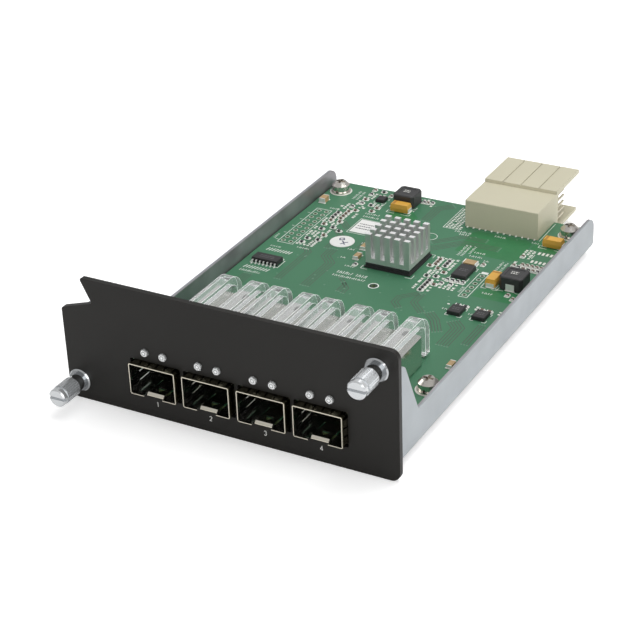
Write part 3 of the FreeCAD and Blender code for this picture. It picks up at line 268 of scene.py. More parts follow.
# %% Node groups
def new_group(name, output, **inputs):
    """An empty node group with a Vector and other inputs, which take their kind from their value: a number,
    a vector of three or a colour of four. Gives the group, its given sockets and the one it puts out."""
    group = bpy.data.node_groups.new(name, "ShaderNodeTree")
    kinds = {1: "NodeSocketFloat", 3: "NodeSocketVector", 4: "NodeSocketColor"}
    group.interface.new_socket("Vector", in_out="INPUT", socket_type="NodeSocketVector")
    for label, value in inputs.items():
        socket = group.interface.new_socket(label, in_out="INPUT", socket_type=kinds[np.size(value)])
        socket.default_value = value
    group.interface.new_socket(output, in_out="OUTPUT", socket_type=kinds[4 if output == "Colour" else 1])
    given, out = (group.nodes.new(kind) for kind in ("NodeGroupInput", "NodeGroupOutput"))
    return group, given.outputs, out.inputs[output]


def noise(group, vector, scale, detail):
    """A noise texture in a group; vector and scale are sockets."""
    return add_node(group, "TexNoise", {"Detail": detail, "Vector": vector, "Scale": scale}).outputs["Fac"]


def spread_about(group, value, middle, amount):
    """middle + (2 * value - 1) * amount, as two math nodes; returns the socket."""
    shifted = add_node(group, "Math", {0: value, 1: 2.0, 2: -1.0}, operation="MULTIPLY_ADD")
    return add_node(group, "Math", {0: shifted.outputs[0], 1: amount, 2: middle},
                    operation="MULTIPLY_ADD").outputs[0]


def make_patchy_tone():
    """Colour times one plus a slow noise: brighter and darker patches of one colour."""
    group, given, out = new_group("patchy tone", "Colour", Colour=(1, 1, 1, 1), Scale=60.0,
                                  Spread=0.1, One=1.0)
    wave = noise(group, given["Vector"], given["Scale"], 3.0)
    factor = spread_about(group, wave, given["One"], given["Spread"])
    times = add_node(group, "VectorMath", {0: given["Colour"], "Scale": factor}, operation="SCALE")
    group.links.new(times.outputs[0], out)
    return group


def make_drifting_gloss():
    """Roughness plus a slow noise: fingerprints, smears and thin spots in the finish."""
    group, given, out = new_group("drifting gloss", "Roughness", Roughness=0.4, Scale=90.0, Spread=0.08)
    wave = noise(group, given["Vector"], given["Scale"], 4.0)
    group.links.new(spread_about(group, wave, given["Roughness"], given["Spread"]), out)
    return group


def make_fine_grain():
    """The height of a fine, even noise, for powder coat, moulded skin and matt chips."""
    group, given, out = new_group("fine grain", "Height", Scale=3000.0)
    group.links.new(noise(group, given["Vector"], given["Scale"], 1.0), out)
    return group


def make_drawn_lines():
    """Noise squeezed across one direction, so that it makes long lines, as rolling leaves on sheet."""
    group, given, out = new_group("drawn lines", "Height", Squeeze=(1, 0.03, 1), Scale=1500.0)
    squeezed = add_node(group, "VectorMath", {0: given["Vector"], 1: given["Squeeze"]}, operation="MULTIPLY")
    group.links.new(noise(group, squeezed.outputs[0], given["Scale"], 2.0), out)
    return group


effects = {"tone": make_patchy_tone(), "gloss": make_drifting_gloss(), "grain": make_fine_grain(),
           "lines": make_drawn_lines()}
print("effects", [g.name for g in effects.values()])

# %% [markdown]
# ## Finishes
# One function builds a finish from the numbers that differ: colour, roughness, metal or not, how patchy it
# is, and how fine its grain is. The shader itself stays in each material, and plain numbers are set on the
# shader's own sockets. Finishes that need more than that, such as the board and the heatsink, add their
# own nodes afterwards.

# %% A finish from a few numbers
finishes = {}
relief_depth = 0.05 * mm


def shader_of(material):
    """The Principled shader of a finish."""
    return material.node_tree.nodes["Principled BSDF"]


def tone_of(material):
    """The drifting colour of a finish, before another colour is mixed in."""
    return material.node_tree.nodes["tone"].outputs["Colour"]


def place_effect(material, name, values):
    """Puts a shared effect in a material, fed with Object coordinates and values by socket name."""
    tree = material.node_tree
    return add_node(tree, "Group", {"Vector": tree.nodes["place"].outputs["Object"], **values},
                    node_tree=effects[name])


def finish(slot, colour, roughness, metallic=0.0, patches=(60.0, 0.08), smears=(120.0, 0.06),
           grain=None, lines=None, bump=0.1, coat=0.0):
    """A Principled material with drifting tone and gloss, and a bump of grain or of drawn lines. Patches
    and smears are a scale and a spread."""
    material = bpy.data.materials.new(slot)
    material.use_nodes = True
    tree = material.node_tree
    shader = shader_of(material)
    add_node(tree, "TexCoord", name="place")
    tone = place_effect(material, "tone", {"Colour": (*colour, 1), "Scale": patches[0],
                                           "Spread": patches[1]})
    tone.name = "tone"
    gloss = place_effect(material, "gloss", {"Roughness": roughness, "Scale": smears[0],
                                             "Spread": smears[1]})
    tree.links.new(tone.outputs["Colour"], shader.inputs["Base Color"])
    tree.links.new(gloss.outputs["Roughness"], shader.inputs["Roughness"])
    shader.inputs["Metallic"].default_value = metallic
    shader.inputs["Coat Weight"].default_value = coat
    shader.inputs["Coat Roughness"].default_value = 0.12
    if grain or lines:
        source = place_effect(material, "grain", {"Scale": grain}) if grain else place_effect(
            material, "lines", {"Squeeze": lines[0], "Scale": lines[1]})
        relief = add_node(tree, "Bump", {"Strength": bump, "Distance": relief_depth,
                                         "Height": source.outputs["Height"]}, name="relief")
        tree.links.new(relief.outputs["Normal"], shader.inputs["Normal"])
    finishes[slot] = material
    return material


print("relief", relief_depth / mm, "mm deep")

# %% [markdown]
# Some finishes need more. One mask follows the direction in which a face looks, another the distance from
# a middle plane, and two helpers use a normal that is rounded over the edges.

# %% Masks, edges and mixed colours
def soften_edges(material, radius):
    """Lets the light run round sharp edges, as on moulded pieces: the relief lies on the bent normal."""
    tree = material.node_tree
    rounded = add_node(tree, "Bevel", {"Radius": radius})
    receiver = tree.nodes["relief"] if "relief" in tree.nodes else shader_of(material)
    tree.links.new(rounded.outputs["Normal"], receiver.inputs["Normal"])


def painted_edge_highlight(material, radius, strength):
    """A painted highlight: the edges of clear plastic glow, by emission, where light would gather. The mask
    rises from 0 to 1 while the cosine of the angle between a face's normal and one rounded over the edges
    falls from 0.97 to 0.82."""
    tree = material.node_tree
    rounded = add_node(tree, "Bevel", {"Radius": radius})
    geometry = add_node(tree, "NewGeometry")
    cosine = add_node(tree, "VectorMath", {0: rounded.outputs["Normal"], 1: geometry.outputs["True Normal"]},
                      operation="DOT_PRODUCT")
    ramp = add_node(tree, "MapRange", {"Value": cosine.outputs["Value"], "From Min": 0.97, "From Max": 0.82})
    tree.links.new(ramp.outputs["Result"], shader_of(material).inputs["Emission Color"])
    shader_of(material).inputs["Emission Strength"].default_value = strength


def facing_mask(material, axis, low, high):
    """A 0 to 1 mask of how squarely a face looks along an axis of the card, from its normal."""
    tree = material.node_tree
    split = add_node(tree, "SeparateXYZ", {0: tree.nodes["place"].outputs["Normal"]})
    ramp = add_node(tree, "MapRange", {"Value": split.outputs[axis], "From Min": low, "From Max": high})
    return ramp.outputs["Result"]


def between_mask(material, middle, reach):
    """A mask of 1 where a point's x is nearer to a middle plane than the reach, and 0 further out."""
    tree = material.node_tree
    split = add_node(tree, "SeparateXYZ", {0: tree.nodes["place"].outputs["Object"]})
    shifted = add_node(tree, "Math", {0: split.outputs[0], 1: middle}, operation="SUBTRACT")
    near = add_node(tree, "Math", {0: shifted.outputs[0], 1: 0.0, 2: reach}, operation="COMPARE")
    return near.outputs[0]


def blend_colour(material, mask, first, second):
    """A colour mixed from two sockets or plain colours by a mask, put on Base Color."""
    first, second = ((*value, 1) if isinstance(value, tuple) else value for value in (first, second))
    mix = add_node(material.node_tree, "Mix", {"Factor": mask, 6: first, 7: second}, data_type="RGBA")
    material.node_tree.links.new(mix.outputs[2], shader_of(material).inputs["Base Color"])


print("axes for masks: x 0, y 1, z 2")

# %% [markdown]
# The panel is powder-coated. The tray is zinc-plated sheet: a mask of x picks out all of it that lies
# inside the outer faces of its walls, and paints it darker, a painted shade. The fixings are bright plating.
# A ferrule is a clean mirror, so that its neck shows the dark panel, and its front-facing flange is painted
# darker, a painted shade.

# %% Panel, tray and fixings
panel = finish("panel_paint", (0.0115, 0.0105, 0.009), 0.42, patches=(25, 0.12), grain=4200, bump=0.30)
shader_of(panel).inputs["Specular IOR Level"].default_value = 0.31
tray = finish("tray_zinc", (0.45, 0.48, 0.50), 0.40, metallic=0.8, patches=(110, 0.14),
              lines=((1, 0.04, 1), 1800), bump=0.06)
tray_low, tray_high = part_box("carrier_tray")
inside = between_mask(tray, (tray_low.x + tray_high.x) / 2, (tray_high.x - tray_low.x) / 2 - 0.4 * mm)
# Painted shade: the tray inside the outer faces of its walls gets a darker, patchier zinc tone.
inner_painted_shade = place_effect(tray, "tone", {"Colour": (0.375, 0.365, 0.385, 1), "Scale": 95, "Spread": 0.50})
blend_colour(tray, inside, tone_of(tray), inner_painted_shade.outputs["Colour"])
finish("zinc_steel", (0.62, 0.63, 0.64), 0.35, metallic=1.0, grain=2500, bump=0.05)
finish("screw_nickel", (0.72, 0.69, 0.64), 0.20, metallic=1.0, patches=(300, 0.10), smears=(400, 0.08))
nickel = (0.74, 0.76, 0.775)
finish("thumbscrew_nickel", nickel, 0.24, metallic=0.74, patches=(200, 0.03), smears=(300, 0.03))
ring = finish("ring_nickel", nickel, 0.11, metallic=1.0, patches=(200, 0.03), smears=(300, 0.03))
# Painted shade: the ferrule's faces that look to the front are made dark grey.
blend_colour(ring, facing_mask(ring, 1, -0.6, -0.95), tone_of(ring), (0.30, 0.31, 0.32))
finish("stem_steel", (0.60, 0.60, 0.60), 0.30, metallic=1.0, patches=(200, 0.08))
print("finishes", len(finishes))

# %% [markdown]
# The cages are folded from thin nickel-plated sheet, and their front rims carry a painted highlight. The
# clear light pipes lie over them. The pipes are moulded plastic: nearly glass, but a little milky and
# rough, and their edges glow with a painted highlight. Little of the drifting tone shows in such a clear
# piece, so its finish is in its roughness and a faint relief.

# %% Cages, light pipes and sockets
cage = finish("cage_nickel", (0.76, 0.75, 0.72), 0.15, metallic=1.0, patches=(90, 0.06), smears=(150, 0.04),
              lines=((1, 0.05, 1), 900), bump=0.04)
# Painted highlight: the cage faces that look to the front, the port rims, are painted light cream.
blend_colour(cage, facing_mask(cage, 1, -0.3, -0.8), tone_of(cage), (0.84, 0.79, 0.66))
finish("gasket_metal", (0.13, 0.12, 0.085), 0.20, metallic=1.0, patches=(900, 0.8))
finish("socket_plastic", (0.085, 0.078, 0.055), 0.45, grain=3000, bump=0.2)
finish("gold_contact", (0.80, 0.56, 0.24), 0.22, metallic=1.0, patches=(500, 0.08))
pipe = finish("light_pipe_clear", (0.96, 0.98, 0.98), 0.025, patches=(50, 0.02), smears=(200, 0.015),
              grain=260, bump=0.025)
shader_of(pipe).inputs["Transmission Weight"].default_value = 0.85
shader_of(pipe).inputs["IOR"].default_value = 1.45
# Painted highlight: the pipes' edges glow.
painted_edge_highlight(pipe, 0.22 * mm, 0.9)
finish("light_white", (0.80, 0.80, 0.76), 0.3, patches=(500, 0.05), coat=0.5)
print("finishes", len(finishes))

# %% [markdown]
# ## The board's finish
# The board is glass-fibre laminate under green lacquer. Its tone drifts in patches, as the copper below
# comes and goes, and a very faint relief stands for the weave of the glass. The sawn edges show the bare
# laminate, which is yellower, so a mask of the face's direction mixes the two.

# %% Board laminate
board = finish("board_laminate", (0.046, 0.178, 0.090), 0.47, patches=(22, 0.16), smears=(60, 0.08),
               grain=1400, bump=0.06)
blend_colour(board, facing_mask(board, 2, 0.5, 0.8), (0.16, 0.22, 0.10), tone_of(board))
print("finishes", len(finishes))

# %% [markdown]
# Chips are matt mould, tin is a dull metal, and the heatsink is drawn aluminium, whose upward faces are
# painted nearly white, a painted highlight.
# Ink, marks, tracks and other thin layers need only a colour, a roughness and a share of metal, so they
# come from one table.

# %% Chips, passives and labels
finish("chip_mould", (0.022, 0.022, 0.023), 0.52, patches=(500, 0.15), grain=5000, bump=0.25)
finish("thermal_pad_grey", (0.35, 0.36, 0.38), 0.8, grain=2000, bump=0.2)
finish("tin_terminal", (0.88, 0.88, 0.86), 0.36, metallic=0.4, patches=(600, 0.1))
coil_mould = finish("inductor_mould", (0.035, 0.035, 0.036), 0.45, patches=(300, 0.15), grain=3000, bump=0.4)
finish("tantalum_mould", (0.68, 0.37, 0.05), 0.42, patches=(200, 0.08), grain=3000, bump=0.15, coat=0.2)
finish("ceramic_tan", (0.44, 0.30, 0.15), 0.42, patches=(700, 0.25), grain=3000, bump=0.1)
finish("resistor_black", (0.03, 0.03, 0.032), 0.35, patches=(600, 0.2), coat=0.3)
finish("label_paper", (0.80, 0.80, 0.78), 0.5, patches=(120, 0.03), grain=2500, bump=0.05)
plug_mould = finish("plug_plastic", (0.56, 0.53, 0.395), 0.5, patches=(60, 0.05), grain=2200, bump=0.08)
soften_edges(plug_mould, 0.30 * mm)
soften_edges(coil_mould, 0.25 * mm)
sink = finish("heatsink_aluminium", (0.74, 0.75, 0.74), 0.42, metallic=0.88, patches=(300, 0.08),
              lines=((1, 1, 0.05), 3000), bump=0.1)
# Painted highlight: the heatsink's faces that look up are painted nearly white.
blend_colour(sink, facing_mask(sink, 2, 0.6, 0.9), tone_of(sink), (0.97, 0.97, 0.97))
for name, colour, rough, metal in (
        ("board_print_white", (0.78, 0.80, 0.76), 0.5, 0.0),
        ("panel_print_white", (0.72, 0.72, 0.70), 0.5, 0.0),
        ("track_green", (0.060, 0.098, 0.066), 0.40, 0.0),
        ("pad_tin", (0.86, 0.85, 0.80), 0.38, 0.35),
        ("via_green", (0.13, 0.26, 0.18), 0.4, 0.0),
        ("ring_tin", (0.54, 0.59, 0.51), 0.4, 0.3),
        ("mark_grey", (0.18, 0.18, 0.19), 0.5, 0.0),
        ("stamp_blue", (0.10, 0.11, 0.17), 0.5, 0.0),
        ("inductor_mark", (0.55, 0.55, 0.52), 0.5, 0.0),
        ("stripe_brown", (0.42, 0.19, 0.025), 0.4, 0.0),
        ("bare_green", (0.022, 0.170, 0.058), 0.42, 0.0),
        ("tip_grey", (0.20, 0.21, 0.21), 0.3, 0.0),
        ("tip_frost", (0.90, 0.91, 0.91), 0.35, 0.0),
        ("chip_mark", (0.10, 0.10, 0.105), 0.5, 0.0),
        ("small_ceramic", (0.15, 0.105, 0.075), 0.42, 0.0),
        ("pale_blade", (0.62, 0.58, 0.45), 0.42, 0.2),
        ("hole_green", (0.020, 0.040, 0.026), 0.5, 0.0)):
    finish(name, colour, rough, metallic=metal, patches=(400, 0.12), smears=(500, 0.1))
print("finishes", sorted(finishes))

# %% [markdown]
# ## Dressing the CAD nodes
# The record names a material slot for each node, and that slot's finish goes on it. A few nodes look
# different from the others in their slot, and take another finish.

# %% Give every CAD node its finish
own_finish = {"chip_capacitors": "small_ceramic", "plug_pins": "pale_blade",
              "left_ferrule": "ring_nickel", "right_ferrule": "ring_nickel"}
slot_of = {part["node"]: part["material_slot"] for part in frame["record"]["subparts"]}
for node, slot in slot_of.items():
    mesh = nodes[node].data
    mesh.materials.clear()
    mesh.materials.append(finishes[own_finish.get(node, slot)])
print("dressed", len(slot_of), "nodes, of which", len(own_finish), "differ from their slot")

# %% [markdown]
# ## New pieces as surfaces
# Each new piece is a surface: points worked out for whole rows and columns at once, joined into faces. Most
# are of two kinds. A pillow is a rounded block whose points come from two angles, and a stroke is a flat
# strip, whose four-cornered section is carried along a path of points.

# %% Grids, pillows and joined shapes
def quads(rows, columns):
    """Faces between neighbours on a grid numbered row by row, whose last column meets its first."""
    r, c = np.meshgrid(np.arange(rows - 1), np.arange(columns), indexing="ij")
    here, beside = r * columns + c, r * columns + (c + 1) % columns
    return np.stack([here, beside, beside + columns, here + columns], -1).reshape(-1, 4)


def new_piece(name, points, faces, slot, finish_name=None, body="card", smooth=False):
    """Makes a mesh piece, gives it a finish and lets it ride on a body. Each face is a row of corners."""
    mesh = bpy.data.meshes.new(name)
    mesh.from_pydata(np.asarray(points).tolist(), [], [list(face) for face in faces])
    mesh.polygons.foreach_set("use_smooth", [smooth] * len(mesh.polygons))
    mesh.materials.append(finishes[finish_name or slot])
    mesh.validate()
    piece = add_object(name, mesh)
    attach(piece, body)


def capped(rows, columns):
    """Faces of a tube-like grid, with its first and last rows closed by one face each."""
    faces = quads(rows, columns).tolist()
    return faces + [list(range(columns))[::-1], list(range((rows - 1) * columns, rows * columns))]


def joined(shapes):
    """One shape from several, each given as its points and faces."""
    points, faces, start = [], [], 0
    for shape_points, shape_faces in shapes:
        points.append(shape_points)
        faces += [[corner + start for corner in face] for face in shape_faces]
        start += len(shape_points)
    return np.vstack(points), faces


def pillows(centres, sizes, around=12, square=0.35):
    """Low rounded blocks with half sizes a, b and h. With angles u round and v up, x = a * c(u) * c(v),
    y = b * s(u) * c(v) and z = h * s(v), where c and s are a cosine and a sine raised to a small power,
    which squares the shape."""
    u = np.arange(around) / around * 2 * np.pi + np.pi / around
    v = np.linspace(-0.5, 0.5, 6)[1:-1] * np.pi

    def soft(value):
        return np.sign(value) * np.abs(value) ** square

    flat = np.stack([soft(np.cos(v))[:, None] * soft(np.cos(u)), soft(np.cos(v))[:, None] * soft(np.sin(u)),
                     np.broadcast_to(soft(np.sin(v))[:, None], (len(v), around))], -1).reshape(1, -1, 3)
    points = np.asarray(centres)[:, None] + flat * np.asarray(sizes)[:, None] / 2
    return joined([(copy, capped(len(v), around)) for copy in points])


print("a pillow has", len(pillows([(0, 0, 0)], [(1, 1, 1)])[0]), "points")

# %% [markdown]
# Strokes draw the tracks and nearly all print, and outlines are strokes round a rectangle. The last three
# helpers give a new piece the finish of ink or of tin, since most thin layers on the board are one of them.

# %% Strokes and outlines
ink = 0.02 * mm


def bends(path):
    """At each point of a path, the mean direction of the two runs that meet there, and the next run's."""
    runs = np.diff(path, axis=0)
    runs /= np.linalg.norm(runs, axis=1, keepdims=True)
    after = np.vstack([runs, runs[-1:]])
    mean = np.vstack([runs[:1], runs]) + after
    return mean / np.linalg.norm(mean, axis=1, keepdims=True), after


def strokes(paths, width, height, normal=(0, 0, 1)):
    """Flat strips along paths. At each point the strip's side is square to the mean of the two runs that
    meet there, and its width grows by one over the cosine of half the turn, so that it stays even."""
    section = ((-1, 0), (1, 0), (1, 1), (-1, 1))
    normal = np.asarray(normal, float)

    def strip(path):
        mean, after = bends(path)
        side = np.cross(normal, mean) / np.clip((mean * after).sum(1, keepdims=True), 0.5, 1)
        points = np.stack([path + side * (a * width / 2) + normal * (b * height) for a, b in section], 1)
        return points.reshape(-1, 3), capped(len(path), 4)

    return joined(strip(np.asarray(path, float)) for path in paths)


def loop(x0, x1, y0, y1, gap=0.0):
    """The four sides of a rectangle on the board, as paths; a gap opens each side at its middle."""
    corners = np.array([(x0, y0), (x1, y0), (x1, y1), (x0, y1), (x0, y0)])
    if gap == 0:
        return [on_board(corners)]
    halves = ((0, (1 - gap) / 2), ((1 + gap) / 2, 1))
    return [on_board([a + (b - a) * share for share in half])
            for a, b in zip(corners, corners[1:]) for half in halves]


def in_mm(node):
    """A node's box on the board as x0, x1, y0, y1 in millimetres, counted as on_board counts them."""
    low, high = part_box(node)
    return (low.x - zero_x) / mm, (high.x - zero_x) / mm, (low.y - front) / mm, (high.y - front) / mm


def printed(name, shape):
    """White ink on the board, from the points and faces of a shape."""
    new_piece(name, *shape, "label_paper", "board_print_white")


def inked(name, paths, width=0.18 * mm):
    """White ink on the board, along paths."""
    printed(name, strokes(paths, width, ink))


def tinned(name, shape, smooth=False):
    """Tin on the board, from the points and faces of a shape."""
    new_piece(name, *shape, "tin_terminal", "pad_tin", smooth=smooth)


print("the heatsink lies at", [round(v, 1) for v in in_mm("heatsink")], "on the board, in mm")

# %% [markdown]
# ## Smooth round pieces
# A CAD mesh is flat triangles, and on bright plating and clear plastic each one shows. A copy of the mesh,
# with its points joined, can be shaded smoothly across the round faces and kept sharp at the real edges.
# The copy stands for the CAD node, with the same shape and place.

# %% Smooth copies of the round pieces
def smooth_copy(node, sharp_degrees=32):
    """A copy of a CAD mesh with joined points. Two faces shade as one where their angle is small."""
    points, first, _, triangles = joined_mesh(node)
    whole = (triangles != np.roll(triangles, 1, axis=1)).all(axis=1)
    mesh = bpy.data.meshes.new(node + "_smooth")
    mesh.from_pydata(points[first].tolist(), [], triangles[whole].tolist())
    mesh.materials.append(nodes[node].data.materials[0])
    mesh.shade_smooth()
    mesh.set_sharp_from_angle(angle=math.radians(sharp_degrees))
    piece = add_object(node + "_smooth", mesh)
    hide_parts(node)
    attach(piece, nodes[node]["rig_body"])
    return piece


smoothed = ["board_screws", "lock_washers", "flat_washers"]
smoothed += [f"{side}_{piece}" for side in ("left", "right") for piece in ("ferrule", "knob", "stem")]
smoothed += [f"light_pipe_{number}" for number in (1, 2, 3, 4)]
for node in smoothed:
    smooth_copy(node)
print("smooth copies", len(smoothed))

# %% [markdown]
# Pushing a thumbscrew in closes its spring up by the travel of the push, towards the end that stands in the
# ferrule, which keeps still. Here each spring only gets a smooth copy with a mesh of its own, and the share
# of its length that it would keep is worked out and printed: its length less the travel, over its length.

# %% Smooth springs, and the share they would keep when pushed
travel_of = {joint["name"]: joint["range_m"][1] for joint in frame["record"]["behaviour"]["joints"]
             if "range_m" in joint}
for side in ("left", "right"):
    low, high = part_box(f"{side}_spring")
    push = f"{side}_screw_push"
    share = 1 - travel_of[push] / (high.y - low.y)
    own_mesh(smooth_copy(f"{side}_spring"))
    print(side, "spring", round((high.y - low.y) / mm, 2), "mm, keeps", round(share, 3))

# %% [markdown]
# ## Screw threads
# The tail of each captive screw has an M2.5 thread, of 0.45 mm pitch. A thread is a ridge wound round the
# stem: its three-cornered section is carried along a helix, and it sinks a little into the stem so that no
# gap shows.

# %% Threads on the captive screws
def thread(node, body, pitch=0.45 * mm, depth=0.12 * mm, smooth_end=1.2 * mm):
    """x = r * cos(t), z = r * sin(t) and y = start + pitch * t / (2 * pi), for three values of r and y that
    make the ridge's section: two at the root and one at the crest. The ridge fades out at both ends."""
    low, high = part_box(node)
    centre_x, centre_z = (low.x + high.x) / 2, (low.z + high.z) / 2
    crest = (high.z - low.z) / 2 + depth * 0.3
    start, end = panel_high.y + 5.2 * mm, high.y - smooth_end
    turns = (end - start) / pitch
    t = np.linspace(0, turns * 2 * np.pi, int(turns * 20))[:, None]
    fade = np.clip(np.minimum(t, t[::-1]) / np.pi, 0.15, 1)
    radius = crest - depth * (1 + np.array([1.3, 0, 1.3]) * fade - fade)
    along = start + pitch * t / (2 * np.pi) + np.array([-0.42, 0, 0.42]) * pitch * fade
    points = np.stack([centre_x + radius * np.cos(t), along, centre_z + radius * np.sin(t)], -1)
    new_piece(node + "_thread", points.reshape(-1, 3), capped(len(t), 3), "stem_steel", body=body)


for side in ("left", "right"):
    low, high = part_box(side + "_stem")
    print(side, "stem y", round((low.y - front) / mm, 2), round((high.y - front) / mm, 2),
          "dia", round((high.z - low.z) / mm, 2))
    thread(side + "_stem", side + "_thumbscrew")

# %% [markdown]
# ## Numbers on the panel
# Each port has its number printed below it. A digit is one or two strokes, and a round part of it is an
# arc. The same stroke helper serves, with the print's normal pointing out of the panel.

# %% Port numbers
def arc(cx, cz, rx, rz, from_degrees, to_degrees, count=9):
    """Points on part of an ellipse: x = cx + rx * cos(angle) and z = cz + rz * sin(angle)."""
    angle = np.radians(np.linspace(from_degrees, to_degrees, count))
    return np.column_stack([cx + rx * np.cos(angle), cz + rz * np.sin(angle)])


digits = {
    1: [np.array([(-0.3, 0.62), (0.08, 1.0), (0.08, -1.0)])],
    2: [np.vstack([arc(0, 0.45, 0.5, 0.55, 165, -35), [(-0.5, -1.0), (0.52, -1.0)]])],
    3: [arc(-0.05, 0.48, 0.47, 0.52, 150, -80), arc(-0.05, -0.46, 0.52, 0.54, 85, -150)],
    4: [np.array([(0.2, -1.0), (0.2, 1.0), (-0.55, -0.42), (0.55, -0.42)])]}
ports = [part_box(f"port_cage_{n}") for n in (1, 2, 3, 4)]
number_height = panel_low.z + 4.1 * mm
digit_size, digit_stroke = 0.64 * mm, 0.19 * mm
for n, (low, high) in enumerate(ports, 1):
    centre = (low.x + high.x) / 2 - 0.1 * mm
    paths = [np.column_stack([centre + line[:, 0] * digit_size, np.full(len(line), front),
                              number_height + line[:, 1] * digit_size]) for line in digits[n]]
    new_piece(f"port_number_{n}", *strokes(paths, digit_stroke, ink, normal=(0, -1, 0)),
              "label_paper", "panel_print_white")
print("port numbers at x", [round(((low.x + high.x) / 2) / mm, 1) for low, high in ports])

# %% [markdown]
# ## Printed lines on the board
# White ink shows where each part goes. An outline is a rectangle a little larger than the part, and most
# are open at the middle of their sides. Beside the small parts are only short bars, and the parts' names
# are left as rows of tiny bars, because the board has no words in this model. The ink is two hundredths of
# a millimetre thick.

# %% Outlines of the larger parts
def around(node, margin, gap):
    """The outline of a node's footprint, a margin larger in millimetres."""
    x0, x1, y0, y1 = in_mm(node)
    return loop(x0 - margin, x1 + margin, y0 - margin, y1 + margin, gap)


outlined = (
    ("logic_chip", 0.35, 0.0), ("controller_chip", 0.5, 0.55), ("regulator_chip", 0.5, 0.4),
    ("driver_chip_1", 0.45, 0.5), ("driver_chip_2", 0.45, 0.5), ("inductor_1", 0.7, 0.4),
    ("inductor_2", 0.7, 0.4), ("tantalum_capacitor_1", 0.9, 0.3), ("board_label", 0.6, 0.0),
    ("tantalum_capacitor_2", 0.9, 0.3), ("tantalum_capacitor_3", 0.9, 0.3), ("switch_chip", 0.8, 0.75))
outlines = []
for part in outlined:
    outlines += around(*part)
plug = in_mm("backplane_plug")
outlines += [on_board([(plug[0] - 5.9, 136.6), (plug[0] - 5.9, 121.6), (plug[0] - 0.4, 121.6)]),
             on_board([(plug[1] + 0.7, 137.5), (plug[1] + 0.7, 124.6)])]
angles = np.radians(np.arange(0, 361, 15))
circle_x, circle_y, circle_radius = 2.8, 113.9, 2.3
outlines.append(on_board(np.column_stack([circle_x + circle_radius * np.cos(angles),
                                          circle_y + circle_radius * np.sin(angles)])))
inked("part_outlines", outlines)
print("outlines", len(outlines))

# %% [markdown]
# The two empty connector places have a frame of ink round rows of holes. The holes are plated: each has a
# thin ring of tin on the face of the board, an annulus whose inner edge is the hole's. A wider ring lies
# round each board screw. Round the test hole lies a dark ring of painted shadow, with a printed one round
# it.

# %% Connector places and plated rings
def rings(places, inner, outer, height=0.03 * mm, sides=16):
    """Flat rings: four circles of points (outer low, outer high, inner high, inner low), joined in turn."""
    angle = np.arange(sides) / sides * 2 * np.pi
    circle = np.column_stack([np.cos(angle), np.sin(angle), np.zeros(sides)])
    up = np.array([0, 0, height])
    ring = np.concatenate([circle * outer, circle * outer + up, circle * inner + up, circle * inner])
    faces = quads(4, sides).tolist()
    faces += [[3 * sides + i, 3 * sides + (i + 1) % sides, (i + 1) % sides, i] for i in range(sides)]
    return joined([(place + ring, faces) for place in np.asarray(places)])


header_x, header_y, pitch = 27.76, 84.1, 2.54
header = [(header_x, header_y + i * pitch) for i in range(6)]
double = [(x, 93.4 + i * pitch) for i in range(10) for x in (-36.6, -34.06)]
new_piece("header_rings", *rings(on_board(header + double), 0.5 * mm, 0.76 * mm), "tin_terminal", "ring_tin")
test_hole = on_board([(1.8, 78.2)])
# Painted shadow: a dark ring round the test hole.
new_piece("test_ring", *rings(test_hole, 0.65 * mm, 1.2 * mm, 0.01 * mm, sides=24),
          "board_laminate", "hole_green")
printed("test_ring_print", rings(test_hole, 1.3 * mm, 1.62 * mm, sides=24))
washers = np.mean(solids_of("flat_washers"), axis=0)
washers[:, 2] = top
tinned("screw_rings", rings(washers, 1.75 * mm, 3.6 * mm, sides=32))
frames = loop(header_x - 1.35, header_x + 1.35, header_y - 1.3, header_y + 5 * pitch + 1.3)
frames += loop(-37.95, -32.75, 92.0, 117.6)
frames += [on_board([(-39.3, y), (-38.4, y)]) for y in np.arange(93.4, 117, 2 * pitch)]
inked("header_frames", frames)
printed("header_tab", pillows(on_board([(header_x, 98.7)]) + [0, 0, ink],
                              [(2.1 * mm, 1.2 * mm, 4 * ink)], square=0.1))
print("plated rings", len(header) + len(double) + len(washers))

# %% [markdown]
# ## Solder and bare pads
# Every metal end sits on a pad a little larger than itself, wet with solder that climbs round it. A pad is
# a very low pillow of tin, smooth where it is solder.

# %% Solder under the parts
ends_low, ends_high = solids_of("part_terminals")
middle = (ends_low + ends_high) / 2
size = ends_high - ends_low
middle[:, 2] = top + 0.05 * mm
pad_border, pad_height = 0.55 * mm, 0.18 * mm
pads = np.column_stack([size[:, 0] + pad_border, size[:, 1] + pad_border, np.full(len(size), pad_height)])
tinned("solder", pillows(middle, pads, around=8, square=0.3), smooth=True)
tail_x = np.arange(12) * 2.0 + (plug[0] + plug[1]) / 2 - 11
tinned("plug_solder", pillows(on_board([(x, plug[2] - 0.25) for x in tail_x]) + [0, 0, 0.1 * mm],
                              np.tile([0.55 * mm, 0.9 * mm, 0.4 * mm], (len(tail_x), 1)), square=0.7),
       smooth=True)
print("solder pads", len(size))

# %% [markdown]
# Where a part was never fitted, only the pads show. A field of empty places is a grid, thinned by a random
# choice with a fixed seed, so that the same board comes out each time. Places that a fitted part covers
# are dropped.

# %% Empty places
chance = np.random.default_rng(7)


def field(x0, x1, y0, y1, step_x, step_y, share=1.0):
    """Places on a grid that fills a rectangle of the board, of which a share is kept."""
    x, y = np.meshgrid(np.arange(x0, x1 + 1e-6, step_x), np.arange(y0, y1 + 1e-6, step_y))
    places = np.column_stack([x.ravel(), y.ravel()])
    return places[chance.random(len(places)) < share]


